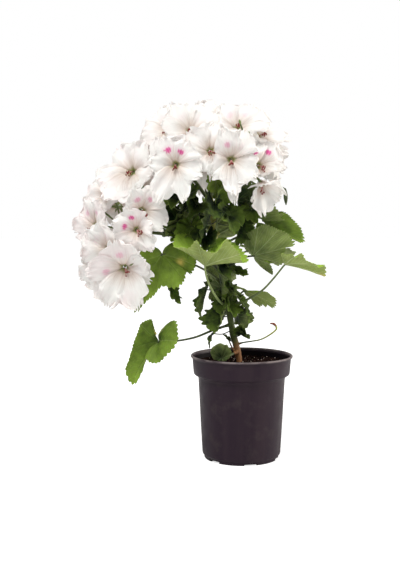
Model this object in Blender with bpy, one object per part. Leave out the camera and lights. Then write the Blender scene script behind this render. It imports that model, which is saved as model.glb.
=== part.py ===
"""A regal pelargonium in its nursery pot: pot, soil, leafy stem, large leaves, flower stalks and blooms.

Run it in Blender 4.5. The tables hold millimetres, and every mesh is brought to metres as it is
finished. X is to the right, Y is to the back and Z is up, from the middle of the pot's base.
"""

import math

import bmesh
import bpy
from mathutils import Matrix, Vector, noise

MM = 0.001
UP = Vector((0.0, 0.0, 1.0))

# Pot: a 12 cm nursery pot
POT_SIDES = 24
RIM_RADIUS = 60.0
POT_HEIGHT = 122.0
BAND_TOP_RADIUS = 57.9
BAND_FOOT_RADIUS = 56.2
BAND_FOOT_HEIGHT = 100.5
BODY_TOP_RADIUS = 50.8
BODY_TOP_HEIGHT = 95.5
BODY_FOOT_RADIUS = 46.0
BODY_FOOT_HEIGHT = 7.0
FOOT_RADIUS = 43.6
FOOT_HEIGHT = 4.6
WALL = 1.4
FLOOR = 2.0
SLOT_COUNT = 6
SLOT_WIDTH = 15.0
SLOT_HEIGHT = 2.4
SLOT_DEPTH = 6.0
FIRST_SLOT_ANGLE = math.radians(-78.0)

# Soil
SEAT_GAP = 0.35
SOIL_LEVEL = 113.0
SOIL_RELIEF = 1.6
HOLE_GAP = 0.4

# Blades: a leaf's edge is given by its distance from the stalk, for a blade of length 1
LEAF_THICKNESS = 0.7
PETAL_THICKNESS = 0.7
JOINT_GAP = 0.3
EDGE_MEAN = 0.72
EDGE_SKEW = 0.23
EDGE_LOBE = 0.05
EDGE_LOBES = 7.2
SINUS_START = 0.86
SINUS_DEPTH = 0.85
WAVE = 0.035
TOOTH_TIP = 1.04
TOOTH_ROOT = 0.93
RIB_ROOT = 2.2
LEAF_TEETH = 11
SMALL_LEAF_TEETH = 5
SMALL_LEAF_WIDTH = 0.95
SMALL_LEAF_FOLD = 0.15
SMALL_STALK_WIDTH = 1.7

# Stems and stalks: what grows from the main stem starts on a short stub of it
STEM_SIDES = 8
STUB_SIDES = 5
STUB_LENGTH = 7.0
STUB_FOOT_FLARE = 1.25
STUB_TIP_FLARE = 1.1
LEAF_STALK_SIDES = 4
LEAF_STALK_RADII = (1.5, 1.0)
SHOOT_SIDES = 5
SHOOT_RADII = (1.6, 0.9)
WITHERED_SIDES = 5
WITHERED_RADIUS = 0.9
WITHERED_TIP_RADII = (1.6, 0.8)
SPROUT_RADII = (1.2, 1.0, 0.7)
HEAD_STALK_SIDES = 6
HEAD_STALK_RADII = (2.1, 1.9)
BRANCH_SIDES = 3
BRANCH_STEPS = (0.0, 0.35, 0.75, 1.0)
BRANCH_RADII = (1.3, 1.1, 1.2, 2.5)
BRANCH_BEND = 0.35

# The middle line of the main stem, from inside the soil to the crown, with its radius
STEM = (
    ((-1.0, 1.0, 62.0), 3.2),
    ((-2.5, 0.0, 100.0), 4.4),
    ((-3.0, 0.0, 116.0), 4.6),
    ((-6.5, 0.0, 133.0), 4.2),
    ((-10.0, 0.0, 146.0), 4.0),
    ((-14.5, 0.0, 170.0), 3.6),
    ((-20.0, 0.0, 198.0), 3.4),
    ((-27.0, 0.0, 233.0), 3.2),
    ((-31.0, 1.0, 257.0), 3.0),
    ((-34.0, 2.0, 280.0), 2.7),
    ((-36.0, 3.0, 303.0), 2.4),
)

# Each flower head: where its stalk leaves the stem, a point on the way, and its middle
HEADS = {
    "upper_left": ((-35.5, 2.5, 297.0), (-47.0, -4.0, 314.0), (-62.0, -10.0, 334.0)),
    "upper_right": ((-33.5, 2.0, 276.0), (-16.0, -6.0, 302.0), (2.0, -12.0, 330.0)),
    "upper_back": ((-36.0, 3.0, 300.0), (-35.0, 16.0, 315.0), (-30.0, 30.0, 334.0)),
    "lower_left": ((-30.5, 1.0, 250.0), (-80.0, 4.0, 262.0), (-138.0, -2.0, 268.0)),
    "middle_left": ((-32.5, 1.5, 268.0), (-72.0, 2.0, 284.0), (-112.0, -2.0, 298.0)),
}

# Each bloom: its head, the middle of its throat, where it faces (degrees right of the front, degrees
# up), how far it is turned, the length of its petals, and how wide it is open, 1.0 being flat open
BLOOMS = {
    "bloom_01": ("upper_left", (-76.0, -68.0, 341.0), (-6.0, 2.0), 0.0, 39.0, 1.0),
    "bloom_02": ("upper_left", (-60.0, -46.0, 376.0), (-4.0, 42.0), 0.0, 36.0, 1.0),
    "bloom_03": ("upper_left", (-85.0, -36.0, 377.0), (-30.0, 36.0), 0.0, 35.0, 1.0),
    "bloom_04": ("upper_left", (-38.0, -60.0, 356.0), (-2.0, 14.0), 18.0, 35.0, 0.92),
    "bloom_05": ("upper_right", (-15.0, -70.0, 346.0), (2.0, 2.0), 0.0, 38.0, 0.92),
    "bloom_06": ("upper_right", (19.0, -54.0, 341.0), (38.0, 6.0), 0.0, 35.0, 0.95),
    "bloom_07": ("upper_right", (25.0, -44.0, 315.0), (34.0, -34.0), 0.0, 33.0, 0.62),
    "bloom_08": ("upper_right", (-7.0, -42.0, 386.0), (6.0, 48.0), 0.0, 36.0, 0.95),
    "bloom_09": ("upper_right", (20.0, -24.0, 378.0), (52.0, 42.0), 0.0, 35.0, 0.95),
    "bloom_10": ("upper_left", (-36.0, -26.0, 395.0), (-4.0, 64.0), 0.0, 36.0, 1.0),
    "bloom_11": ("upper_left", (-72.0, 2.0, 393.0), (-72.0, 62.0), 0.0, 36.0, 1.0),
    "bloom_12": ("upper_left", (-104.0, -8.0, 366.0), (-62.0, 28.0), 0.0, 36.0, 1.0),
    "bloom_13": ("upper_back", (-28.0, 12.0, 400.0), (160.0, 80.0), 0.0, 36.0, 1.0),
    "bloom_14": ("upper_back", (4.0, 16.0, 389.0), (130.0, 60.0), 0.0, 36.0, 1.0),
    "bloom_15": ("upper_right", (38.0, 6.0, 356.0), (92.0, 16.0), 0.0, 35.0, 1.0),
    "bloom_16": ("upper_back", (24.0, 46.0, 360.0), (140.0, 22.0), 0.0, 36.0, 1.0),
    "bloom_17": ("upper_back", (-8.0, 66.0, 350.0), (168.0, 8.0), 0.0, 37.0, 1.0),
    "bloom_18": ("upper_back", (-46.0, 68.0, 348.0), (184.0, 6.0), 0.0, 37.0, 1.0),
    "bloom_19": ("upper_back", (-80.0, 52.0, 354.0), (218.0, 14.0), 0.0, 37.0, 1.0),
    "bloom_20": ("upper_back", (-52.0, 44.0, 385.0), (200.0, 50.0), 0.0, 36.0, 1.0),
    "bloom_21": ("upper_back", (-16.0, 48.0, 383.0), (168.0, 48.0), 0.0, 36.0, 1.0),
    "bloom_22": ("middle_left", (-127.0, -40.0, 330.0), (-26.0, 16.0), 0.0, 36.0, 1.0),
    "bloom_23": ("middle_left", (-106.0, -60.0, 290.0), (34.0, 0.0), -14.0, 33.0, 0.95),
    "bloom_24": ("middle_left", (-132.0, 2.0, 336.0), (-100.0, 46.0), 0.0, 36.0, 1.0),
    "bloom_25": ("middle_left", (-114.0, 40.0, 316.0), (184.0, 20.0), 0.0, 37.0, 1.0),
    "bloom_26": ("lower_left", (-156.0, -30.0, 311.0), (-40.0, 28.0), 0.0, 33.0, 1.0),
    "bloom_27": ("lower_left", (-174.0, -6.0, 293.0), (-80.0, 16.0), 0.0, 32.0, 1.0),
    "bloom_28": ("lower_left", (-170.0, -42.0, 274.0), (-50.0, 2.0), 0.0, 33.0, 1.0),
    "bloom_29": ("lower_left", (-152.0, -62.0, 248.0), (-22.0, -6.0), 0.0, 36.0, 0.95),
    "bloom_30": ("lower_left", (-118.0, -74.0, 270.0), (4.0, 2.0), -22.0, 36.0, 0.95),
    "bloom_31": ("lower_left", (-132.0, -64.0, 226.0), (0.0, -22.0), -18.0, 44.0, 0.92),
    "bloom_32": ("lower_left", (-165.0, -30.0, 220.0), (-56.0, -24.0), 0.0, 34.0, 0.95),
    "bloom_33": ("lower_left", (-172.0, 18.0, 256.0), (-108.0, -4.0), 0.0, 35.0, 1.0),
    "bloom_34": ("lower_left", (-146.0, 44.0, 260.0), (194.0, -4.0), 0.0, 37.0, 1.0),
    "bloom_35": ("lower_left", (-150.0, 30.0, 300.0), (218.0, 28.0), 0.0, 36.0, 1.0),
}

# Each large leaf: its place on the stem, the way points of its stalk, the point where the stalk meets
# the blade, the blade's tip, the way its upper side faces, its width for its length, how deep it is
# cupped and how steeply it is folded along the middle rib
LEAVES = {
    "leaf_low_left": (
        (-12.5, -1.0, 158.0), ((-34.0, -10.0, 152.0), (-55.0, -20.0, 145.0), (-78.0, -30.0, 142.0)),
        (-95.0, -37.0, 142.5), (-127.0, -50.0, 95.0), (-0.1, -1.0, 0.15), 0.46, 0.1, 1.4,
    ),
    "leaf_mid_left": (
        (-24.0, -1.0, 218.0), ((-37.0, -4.0, 228.0), (-58.0, -14.0, 235.0), (-78.0, -22.0, 237.0)),
        (-92.0, -26.0, 235.0), (-107.0, -33.0, 180.0), (0.1, -1.0, 0.3), 0.85, 0.02, 0.05,
    ),
    "leaf_front": (
        (-16.5, -2.0, 178.0), ((-27.0, -16.0, 187.0), (-37.0, -34.0, 204.0), (-42.0, -44.0, 218.0)),
        (-43.5, -48.0, 229.0), (-36.0, -80.0, 243.0), (0.05, 0.5, 0.85), 1.3, 0.35, 0.1,
    ),
    "leaf_right": (
        (-24.5, -2.0, 222.0), ((-14.0, -8.0, 228.0), (-3.0, -15.0, 234.0), (5.0, -19.0, 238.0)),
        (12.0, -22.0, 239.0), (55.0, -40.0, 255.0), (-0.15, 0.85, 0.55), 1.05, 0.12, 0.0,
    ),
    "leaf_far_right": (
        (-16.5, 0.0, 180.0), ((2.0, -8.0, 186.0), (21.0, -18.0, 198.0), (36.0, -29.0, 213.0)),
        (51.0, -38.0, 229.0), (94.0, -36.0, 223.0), (0.15, 0.3, 1.0), 0.85, -0.05, 0.12,
    ),
    "leaf_right_behind": (
        (-28.5, 1.0, 244.0), ((-12.0, 12.0, 256.0), (6.0, 18.0, 264.0), (20.0, 22.0, 270.0)),
        (30.0, 24.0, 273.0), (71.0, 14.0, 254.0), (0.15, -0.7, 0.8), 1.05, 0.06, 0.0,
    ),
    "leaf_low_right_behind": (
        (-15.0, 2.0, 174.0), ((-8.0, 12.0, 180.0), (-1.0, 20.0, 189.0), (4.0, 25.0, 195.0)),
        (8.0, 28.0, 198.0), (43.0, 33.0, 181.0), (0.1, 0.3, 1.0), 1.0, -0.05, 0.1,
    ),
    "leaf_in_pot": (
        (-5.0, -3.0, 126.0), ((-11.0, -9.0, 124.0), (-17.0, -16.0, 122.0), (-22.0, -21.0, 121.5)),
        (-25.0, -24.0, 122.0), (-25.0, -27.0, 141.0), (0.0, -1.0, 0.25), 1.0, 0.04, 0.0,
    ),
    "leaf_back_left": (
        (-21.5, 2.0, 206.0), ((-36.0, 18.0, 216.0), (-52.0, 34.0, 224.0), (-66.0, 46.0, 228.0)),
        (-76.0, 54.0, 228.0), (-98.0, 84.0, 204.0), (-0.4, 0.6, 0.75), 1.0, 0.08, 0.1,
    ),
    "leaf_back": (
        (-18.0, 3.0, 190.0), ((-17.0, 22.0, 200.0), (-20.0, 38.0, 208.0), (-22.0, 50.0, 211.0)),
        (-23.0, 58.0, 211.0), (-25.0, 94.0, 190.0), (0.0, 0.6, 0.8), 0.95, 0.06, 0.15,
    ),
    "leaf_back_right": (
        (-24.0, 2.5, 226.0), ((-8.0, 22.0, 236.0), (8.0, 38.0, 242.0), (20.0, 50.0, 243.0)),
        (28.0, 57.0, 242.0), (50.0, 90.0, 222.0), (0.3, 0.5, 0.8), 1.0, 0.06, 0.1,
    ),
}

# The small leaves on the main stem and on each crown shoot: where the blade starts, where it points
# (degrees right of the front, degrees up) and its length
STEM_LEAVES = (
    ((-30.4, -18.1, 224.1), (-8.0, -84.0), 26.6),
    ((-9.8, -5.1, 219.6), (47.0, -33.0), 19.2),
    ((-37.3, -4.7, 203.1), (-50.0, -72.0), 23.5),
    ((-14.8, -12.0, 196.5), (21.0, -43.0), 25.2),
    ((2.2, -8.3, 181.7), (67.0, -42.0), 24.6),
    ((-26.6, -7.1, 169.2), (-3.0, -68.0), 24.1),
    ((-10.3, -12.9, 176.2), (13.0, -75.0), 20.1),
    ((0.9, -6.3, 160.3), (55.0, -56.0), 13.3),
    ((-3.5, -8.1, 150.9), (62.0, -44.0), 11.1),
    ((-34.8, 0.6, 152.0), (-58.0, -62.0), 11.9),
    ((-24.4, 2.5, 200.8), (169.0, -62.0), 25.1),
    ((-24.0, 21.6, 231.9), (193.0, -56.0), 27.4),
    ((-4.2, 5.8, 168.1), (149.0, -64.0), 21.9),
    ((-20.5, 9.8, 176.2), (219.0, -61.0), 21.9),
)
SHOOTS = {
    "crown_left": (
        ((-31.0, 0.5, 258.0), (-48.0, -10.0, 272.0), (-68.0, -16.0, 290.0)),
        (
            ((-82.4, -16.2, 298.1), (-62.0, -10.0), 27.2),
            ((-69.8, -34.5, 305.9), (-26.0, -40.0), 29.9),
            ((-59.9, -21.2, 272.5), (-12.0, -59.0), 32.0),
            ((-76.8, -15.0, 282.2), (-70.0, -48.0), 26.5),
            ((-47.5, -13.9, 290.2), (2.0, 7.0), 26.0),
            ((-66.5, 7.5, 290.0), (-161.0, -23.0), 28.1),
            ((-59.6, -13.7, 303.9), (-14.0, 68.0), 26.0),
        ),
    ),
    "crown_front": (
        ((-30.5, -1.0, 250.0), (-31.0, -14.0, 264.0), (-29.0, -24.0, 286.0)),
        (
            ((-33.6, -37.1, 299.6), (3.0, -34.0), 27.8),
            ((-18.1, -34.4, 288.2), (24.0, -50.0), 27.8),
            ((-41.0, -32.1, 276.0), (-31.0, -52.0), 27.4),
            ((-28.0, -30.7, 267.5), (13.0, -66.0), 23.7),
            ((-27.8, -21.0, 304.0), (5.0, 63.0), 25.9),
        ),
    ),
    "crown_right": (
        ((-32.0, 1.0, 262.0), (-12.0, -4.0, 273.0), (6.0, -6.0, 288.0)),
        (
            ((16.0, -19.4, 296.7), (29.0, -28.0), 26.2),
            ((-3.8, -17.7, 276.9), (1.0, -60.0), 28.1),
            ((18.1, -5.8, 282.4), (80.0, -21.0), 28.0),
            ((-6.3, -12.9, 302.2), (10.0, 58.0), 26.9),
            ((9.2, -13.1, 301.9), (32.0, 52.0), 26.0),
            ((9.2, 12.3, 292.4), (122.0, -16.0), 27.9),
        ),
    ),
    "crown_back": (
        ((-32.5, 2.0, 266.0), (-32.0, 20.0, 276.0), (-34.0, 36.0, 288.0)),
        (
            ((-36.0, 49.7, 295.6), (181.0, -21.0), 32.5),
            ((-52.3, 37.9, 288.3), (219.0, -45.0), 30.2),
            ((-14.4, 39.6, 288.4), (143.0, -38.0), 29.3),
            ((-30.4, 42.3, 271.9), (181.0, -58.0), 29.4),
            ((-56.0, 24.0, 274.0), (240.0, -42.0), 28.0),
            ((-4.8, 25.1, 275.9), (176.0, -47.0), 28.0),
        ),
    ),
}

# The withered leaf stalk, low on the right, and the thin sprout on the left
WITHERED = (
    (-6.5, 0.0, 134.0), (2.0, -2.0, 136.5), (12.0, -5.0, 138.5), (22.0, -8.0, 141.0), (32.0, -12.0, 147.0),
    (39.5, -14.0, 154.0), (37.0, -14.0, 159.5), (32.0, -13.5, 160.5),
)
SPROUT = ((-5.0, -2.0, 122.0), (-11.0, -4.0, 130.0), (-16.0, -5.0, 141.0))

# The petals of a bloom: angle from its upward way, length and half width for a petal of length 1
PETALS = (
    (-33.0, 1.00, 0.50),
    (33.0, 1.00, 0.50),
    (106.0, 0.94, 0.42),
    (180.0, 0.98, 0.42),
    (254.0, 0.94, 0.42),
)
THROAT_DEPTH = 9.0
THROAT_RADIUS = 1.4
RECEPTACLE = 3.0
STAMEN_DROOP = 2.0
COLUMN_RADII = (1.5, 1.0, 1.0)
COLUMN_SIDES = 3
CLAW_ANGLE = 24.0
OPEN_ANGLE = 92.0
TIP_DROP = 0.16
OVERLAP_LIFT = 2.2
RUFFLE = 1.6
CLAW_SPREAD = 0.66
WIDEST_REACH = 0.72
TIP_ROUNDING = 0.35
PETAL_ROWS = (0.42, 0.74, 1.0)
THROAT_FLOOR_RADIUS = 1.9
CELL_SLANT_DEPTH = 28.0
CELL_SOFTNESS = 4.0
CELL_MARGIN = 0.75
PETAL_STEP = 0.85
PETAL_LAYERS = (0, 1, 0, 1, 2)

COLOURS = {
    "pot": ((0.030, 0.024, 0.032), 0.42),
    "soil": ((0.025, 0.014, 0.010), 0.95),
    "stem": ((0.120, 0.180, 0.050), 0.70),
    "stalk": ((0.160, 0.260, 0.070), 0.65),
    "withered": ((0.220, 0.200, 0.060), 0.80),
    "leaf": ((0.110, 0.240, 0.040), 0.60),
    "petal": ((0.880, 0.860, 0.850), 0.60),
}


def material(kind):
    """The finish of one kind of piece, made once."""
    if kind in bpy.data.materials:
        return bpy.data.materials[kind]
    colour, roughness = COLOURS[kind]
    made = bpy.data.materials.new(kind)
    made.use_nodes = True
    shader = made.node_tree.nodes["Principled BSDF"]
    shader.inputs["Base Color"].default_value = (*colour, 1.0)
    shader.inputs["Roughness"].default_value = roughness
    shader.inputs["Metallic"].default_value = 0.0
    return made


def finish(name, bm, kind):
    """Brings a mesh from millimetres to metres and makes it an object."""
    bmesh.ops.scale(bm, vec=(MM, MM, MM), verts=bm.verts)
    mesh = bpy.data.meshes.new(name)
    bm.to_mesh(mesh)
    bm.free()
    mesh.materials.append(material(kind))
    mesh.shade_smooth()
    mesh.set_sharp_from_angle(angle=math.radians(45.0))
    made = bpy.data.objects.new(name, mesh)
    bpy.context.scene.collection.objects.link(made)
    return made


def apply_modifiers(target):
    """Keeps what an object's modifiers make as its own mesh."""
    graph = bpy.context.evaluated_depsgraph_get()
    mesh = bpy.data.meshes.new_from_object(target.evaluated_get(graph))
    target.modifiers.clear()
    target.data = mesh


def fuse(name, pieces, kind):
    """Joins closed shapes into one body with one union, also where one shape crosses itself."""
    body = finish(name, pieces[0], kind)
    others = bpy.data.collections.new(name)
    bpy.context.scene.collection.children.link(others)
    for bm in pieces[1:]:
        piece = finish(name + "_piece", bm, kind)
        bpy.context.scene.collection.objects.unlink(piece)
        others.objects.link(piece)
    union = body.modifiers.new("Union", "BOOLEAN")
    union.operation = "UNION"
    union.operand_type = "COLLECTION"
    union.collection = others
    union.use_self = True
    apply_modifiers(body)
    for piece in list(others.objects):
        bpy.data.objects.remove(piece)
    bpy.data.collections.remove(others)
    return body


def turned(profile, sides):
    """Turns a profile of radius and height round the Z axis. It starts and ends on the axis."""
    bm = bmesh.new()
    points = [bm.verts.new((radius, 0.0, height)) for radius, height in profile]
    edges = [bm.edges.new(pair) for pair in zip(points, points[1:])]
    bmesh.ops.spin(
        bm, geom=points + edges, cent=(0.0, 0.0, 0.0), axis=UP, angle=math.tau, steps=sides,
        use_merge=True,
    )
    bmesh.ops.remove_doubles(bm, verts=bm.verts, dist=0.001)
    bmesh.ops.recalc_face_normals(bm, faces=bm.faces)
    return bm


def tube(path, radii, sides):
    """A closed tube along a path, with a radius for each of its points."""
    bm = bmesh.new()
    path = [Vector(point) for point in path]
    along = [(b - a).normalized() for a, b in zip(path, path[1:])]
    along.append(along[-1])
    across = along[0].orthogonal().normalized()
    rings = []
    for index, (centre, radius) in enumerate(zip(path, radii)):
        normal = (along[max(index - 1, 0)] + along[index]).normalized()
        across = (across - across.dot(normal) * normal).normalized()
        other = normal.cross(across)
        rings.append([
            bm.verts.new(centre + radius * (math.cos(turn) * across + math.sin(turn) * other))
            for turn in (math.tau * side / sides for side in range(sides))
        ])
    for low, high in zip(rings, rings[1:]):
        for side in range(sides):
            after = (side + 1) % sides
            bm.faces.new((low[side], low[after], high[after], high[side]))
    bm.faces.new(rings[0][::-1])
    bm.faces.new(rings[-1])
    bmesh.ops.recalc_face_normals(bm, faces=bm.faces)
    return bm


def thicken(bm, thickness):
    """Gives an open sheet its thickness, split into the same triangles on both faces."""
    bmesh.ops.triangulate(bm, faces=bm.faces)
    bm.normal_update()
    shifts = {vert: vert.normal * (thickness / 2) for vert in bm.verts}
    edges = [edge for edge in bm.edges if edge.is_boundary]
    copied = bmesh.ops.duplicate(bm, geom=list(bm.verts) + list(bm.edges) + list(bm.faces))
    twin = copied["vert_map"]
    for face in [part for part in copied["geom"] if isinstance(part, bmesh.types.BMFace)]:
        face.normal_flip()
    for edge in edges:
        a, b = edge.verts
        bm.faces.new((a, b, twin[b], twin[a]))
    for vert, shift in shifts.items():
        vert.co += shift
        twin[vert].co -= shift
    bmesh.ops.triangulate(bm, faces=[face for face in bm.faces if len(face.verts) == 4])
    bmesh.ops.recalc_face_normals(bm, faces=bm.faces)
    return bm


def pot_profile():
    """The pot's wall, from the middle of its base up the outside and down the inside."""
    outside = [
        (0.0, 0.0),
        (FOOT_RADIUS - 0.8, 0.0),
        (FOOT_RADIUS, 1.0),
        (FOOT_RADIUS + 0.5, FOOT_HEIGHT),
        (BODY_FOOT_RADIUS, BODY_FOOT_HEIGHT),
        (BODY_TOP_RADIUS, BODY_TOP_HEIGHT),
        (BAND_FOOT_RADIUS - 1.0, BAND_FOOT_HEIGHT - 1.6),
        (BAND_FOOT_RADIUS, BAND_FOOT_HEIGHT + 0.6),
        (BAND_TOP_RADIUS, POT_HEIGHT - 3.6),
        (RIM_RADIUS, POT_HEIGHT - 2.2),
        (RIM_RADIUS - 0.9, POT_HEIGHT),
        (RIM_RADIUS - 2.6, POT_HEIGHT - 0.6),
    ]
    inside = [
        (BAND_TOP_RADIUS - WALL, POT_HEIGHT - 4.0),
        (BAND_FOOT_RADIUS - WALL, BAND_FOOT_HEIGHT + 1.4),
        (BODY_TOP_RADIUS - WALL, BODY_TOP_HEIGHT + 0.8),
        (BODY_FOOT_RADIUS - WALL, BODY_FOOT_HEIGHT + 0.6),
        (FOOT_RADIUS - WALL, FLOOR),
        (0.0, FLOOR),
    ]
    return outside + inside


def box(size, place):
    """A box of a given size, put where a matrix says."""
    bm = bmesh.new()
    bmesh.ops.create_cube(bm, size=1.0)
    bmesh.ops.scale(bm, vec=size, verts=bm.verts)
    bmesh.ops.transform(bm, matrix=place, verts=bm.verts)
    return bm


def cut(target, cutters):
    """Cuts closed shapes out of an object, one after the other."""
    for bm in cutters:
        cutter = finish(target.name + "_cutter", bm, "soil")
        cutter.hide_render = True
        cutter.display_type = "WIRE"
        hole = target.modifiers.new("Hole", "BOOLEAN")
        hole.operation = "DIFFERENCE"
        hole.object = cutter
        apply_modifiers(target)
        bpy.data.objects.remove(cutter)


def build_pot():
    """One moulding: the turned wall and floor, with drainage slots round the edge of the foot."""
    pot = finish("pot", turned(pot_profile(), POT_SIDES), "pot")
    slots = []
    for index in range(SLOT_COUNT):
        turn = Matrix.Rotation(FIRST_SLOT_ANGLE + math.tau * index / SLOT_COUNT, 4, "Z")
        out = Matrix.Translation((FOOT_RADIUS, 0.0, 0.0))
        slots.append(box((2 * SLOT_DEPTH, SLOT_WIDTH, 2 * SLOT_HEIGHT), turn @ out))
    cut(pot, slots)


def soil_profile():
    """The root ball follows the pot's inside, a little clear of it, up to its top."""
    clear = WALL + SEAT_GAP
    band = BAND_FOOT_HEIGHT + 1.4 + SEAT_GAP
    return [
        (0.0, FLOOR + SEAT_GAP),
        (FOOT_RADIUS - clear - 0.3, FLOOR + SEAT_GAP),
        (BODY_FOOT_RADIUS - clear, BODY_FOOT_HEIGHT + 0.6 + SEAT_GAP),
        (BODY_TOP_RADIUS - clear, BODY_TOP_HEIGHT + 0.8 + SEAT_GAP),
        (BAND_FOOT_RADIUS - clear, band),
        (BAND_FOOT_RADIUS - clear + 0.7, SOIL_LEVEL - 1.5),
        (38.0, SOIL_LEVEL),
        (20.0, SOIL_LEVEL),
        (0.0, SOIL_LEVEL),
    ]


def build_soil():
    """The root ball, rough on top, with a plain hole for each stem that stands in it."""
    bm = turned(soil_profile(), POT_SIDES)
    for vert in bm.verts:
        if vert.co.z > SOIL_LEVEL - 0.1:
            vert.co.z += SOIL_RELIEF * noise.noise(vert.co * 0.11)
    soil = finish("soil", bm, "soil")
    path = [Vector(point) for point, radius in STEM[:3]]
    path.append(path[-1] + Vector((-1.5, 0.0, 12.0)))
    radii = [radius + HOLE_GAP for point, radius in STEM[:3]] + [STEM[2][1] + 1.0]
    path[0] = path[0] - UP * HOLE_GAP
    cut(soil, [tube(path, radii, STEM_SIDES)])


def stem_path():
    """The stem's middle line and its radius at each point."""
    return [Vector(point) for point, radius in STEM], [radius for point, radius in STEM]


def stub_and_stalk(points, radius):
    """A short stub on the stem and the stalk that goes on from it, end to end with a small gap."""
    path = [Vector(point) for point in points]
    start = path[0]
    direction = (path[1] - start).normalized()
    stub_end = start + direction * STUB_LENGTH
    stub = tube([start, stub_end], [radius * STUB_FOOT_FLARE, radius * STUB_TIP_FLARE], STUB_SIDES)
    return stub, [stub_end + direction * JOINT_GAP] + path[1:]


def tapered(path, radii):
    """A radius for each point of a path, from the first radius to the second."""
    first, last = radii
    return [first + (last - first) * index / (len(path) - 1) for index in range(len(path))]


def leaf_edge(angle):
    """How far a leaf's edge is from its stalk, for a blade of length 1, at an angle from the tip."""
    reach = EDGE_MEAN + EDGE_SKEW * math.cos(angle) + EDGE_LOBE * math.cos(EDGE_LOBES * angle)
    back = abs(angle) / math.pi
    if back > SINUS_START:
        reach *= 1.0 - SINUS_DEPTH * (back - SINUS_START) / (1.0 - SINUS_START)
    return reach


def leaf_frame(base, tip, facing):
    """The way along a leaf's middle rib, across it and out of its upper side, and its length."""
    length = (tip - base).length
    along = (tip - base).normalized()
    out = (facing - facing.dot(along) * along).normalized()
    return along, out.cross(along), out, length


def leaf_blade(base, tip, facing, width, cup, fold):
    """A round, toothed blade, open behind its stalk: a half-way row of points and a toothed edge."""
    along, across, out, length = leaf_frame(base, tip, facing)
    bm = bmesh.new()
    heart = bm.verts.new(base)

    def blade_point(angle, share, tooth):
        reach = leaf_edge(angle) * share
        u = reach * tooth * math.cos(angle)
        v = reach * tooth * math.sin(angle) * width
        w = cup * (u * u + v * v) + fold * abs(v) + WAVE * math.sin(5 * angle) * share**2
        return bm.verts.new(base + length * (u * along + v * across + w * out))

    step = math.tau / LEAF_TEETH
    middle = [blade_point((index + 0.5) * step - math.pi, 0.5, 1.0) for index in range(LEAF_TEETH)]
    edge = [
        blade_point((index + 0.5) * step / 2 - math.pi, 1.0, TOOTH_TIP if index % 2 else TOOTH_ROOT)
        for index in range(1, 2 * LEAF_TEETH - 1)
    ]
    for index, (here, after) in enumerate(zip(middle, middle[1:])):
        a, b = edge[2 * index:2 * index + 2]
        bm.faces.new((heart, here, after))
        bm.faces.new((a, b, here))
        bm.faces.new((here, b, after))
        if index < len(middle) - 2:
            bm.faces.new((b, edge[2 * index + 2], after))
    bmesh.ops.recalc_face_normals(bm, faces=bm.faces)
    return thicken(bm, LEAF_THICKNESS)


def build_leaf(name, row):
    """A large leaf: its stalk and its toothed blade, fused. Returns the stub that carries it."""
    root, way, base, tip, facing, width, cup, fold = row
    base, tip, facing = Vector(base), Vector(tip), Vector(facing)
    stub, path = stub_and_stalk([root, *way, base], LEAF_STALK_RADII[0])
    path[-1] = base + (tip - base).normalized() * RIB_ROOT
    stalk = tube(path, tapered(path, LEAF_STALK_RADII), LEAF_STALK_SIDES)
    blade = leaf_blade(base, tip, facing, width, cup, fold)
    fuse(name, [blade, stalk], "leaf")
    return stub


def nearest_on(path, point):
    """The place on a path that is nearest to a point."""
    places = []
    for a, b in zip(path, path[1:]):
        share = (point - a).dot(b - a) / (b - a).length_squared
        places.append(a + min(max(share, 0.0), 1.0) * (b - a))
    return min(places, key=lambda place: (place - point).length)


def small_leaf(base, degrees, length, carrier):
    """A small leaf: one sheet of a flat stalk, from the nearest point of its shoot, and a toothed blade."""
    base = Vector(base)
    ahead = facing_vector(degrees)
    level = Vector((ahead.x, ahead.y, 0.0)).normalized()
    along, across, out, length = leaf_frame(base, base + ahead * length, UP + 0.6 * level)
    root = nearest_on(carrier, base)
    bm = bmesh.new()
    beside = across * (SMALL_STALK_WIDTH / 2)
    foot = [bm.verts.new(root - beside), bm.verts.new(root + beside)]
    heart = [bm.verts.new(base - beside), bm.verts.new(base + beside)]
    edge = []
    count = 2 * SMALL_LEAF_TEETH
    for index in range(count):
        angle = math.tau * (index + 0.5) / count - math.pi
        reach = leaf_edge(angle) * (TOOTH_TIP if index % 2 else TOOTH_ROOT)
        v = reach * math.sin(angle) * SMALL_LEAF_WIDTH
        w = SMALL_LEAF_FOLD * abs(v) + WAVE * math.sin(5 * angle)
        edge.append(bm.verts.new(base + length * (reach * math.cos(angle) * along + v * across + w * out)))
    for index in range(SMALL_LEAF_TEETH - 1):
        bm.faces.new((heart[0], edge[index], edge[index + 1]))
        bm.faces.new((heart[1], edge[count - 2 - index], edge[count - 1 - index]))
    bm.faces.new((heart[0], edge[SMALL_LEAF_TEETH - 1], edge[SMALL_LEAF_TEETH], heart[1]))
    bm.faces.new((foot[0], heart[0], heart[1], foot[1]))
    return thicken(bm, LEAF_THICKNESS)


def build_shoot(name, row):
    """A side shoot with its small leaves, fused. Returns the stub that carries it."""
    way, leaves = row
    stub, path = stub_and_stalk(way, SHOOT_RADII[0])
    pieces = [tube(path, tapered(path, SHOOT_RADII), SHOOT_SIDES)]
    for leaf in leaves:
        pieces.append(small_leaf(*leaf, path))
    fuse(name, pieces, "leaf")
    return stub


def build_withered_stalk():
    """The withered stalk, curled over at its tip. Returns the stub that carries it."""
    stub, path = stub_and_stalk(WITHERED, WITHERED_RADIUS)
    radii = [WITHERED_RADIUS] * (len(path) - 2) + [*WITHERED_TIP_RADII]
    finish("withered_stalk", tube(path, radii, WITHERED_SIDES), "withered")
    return stub


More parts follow.
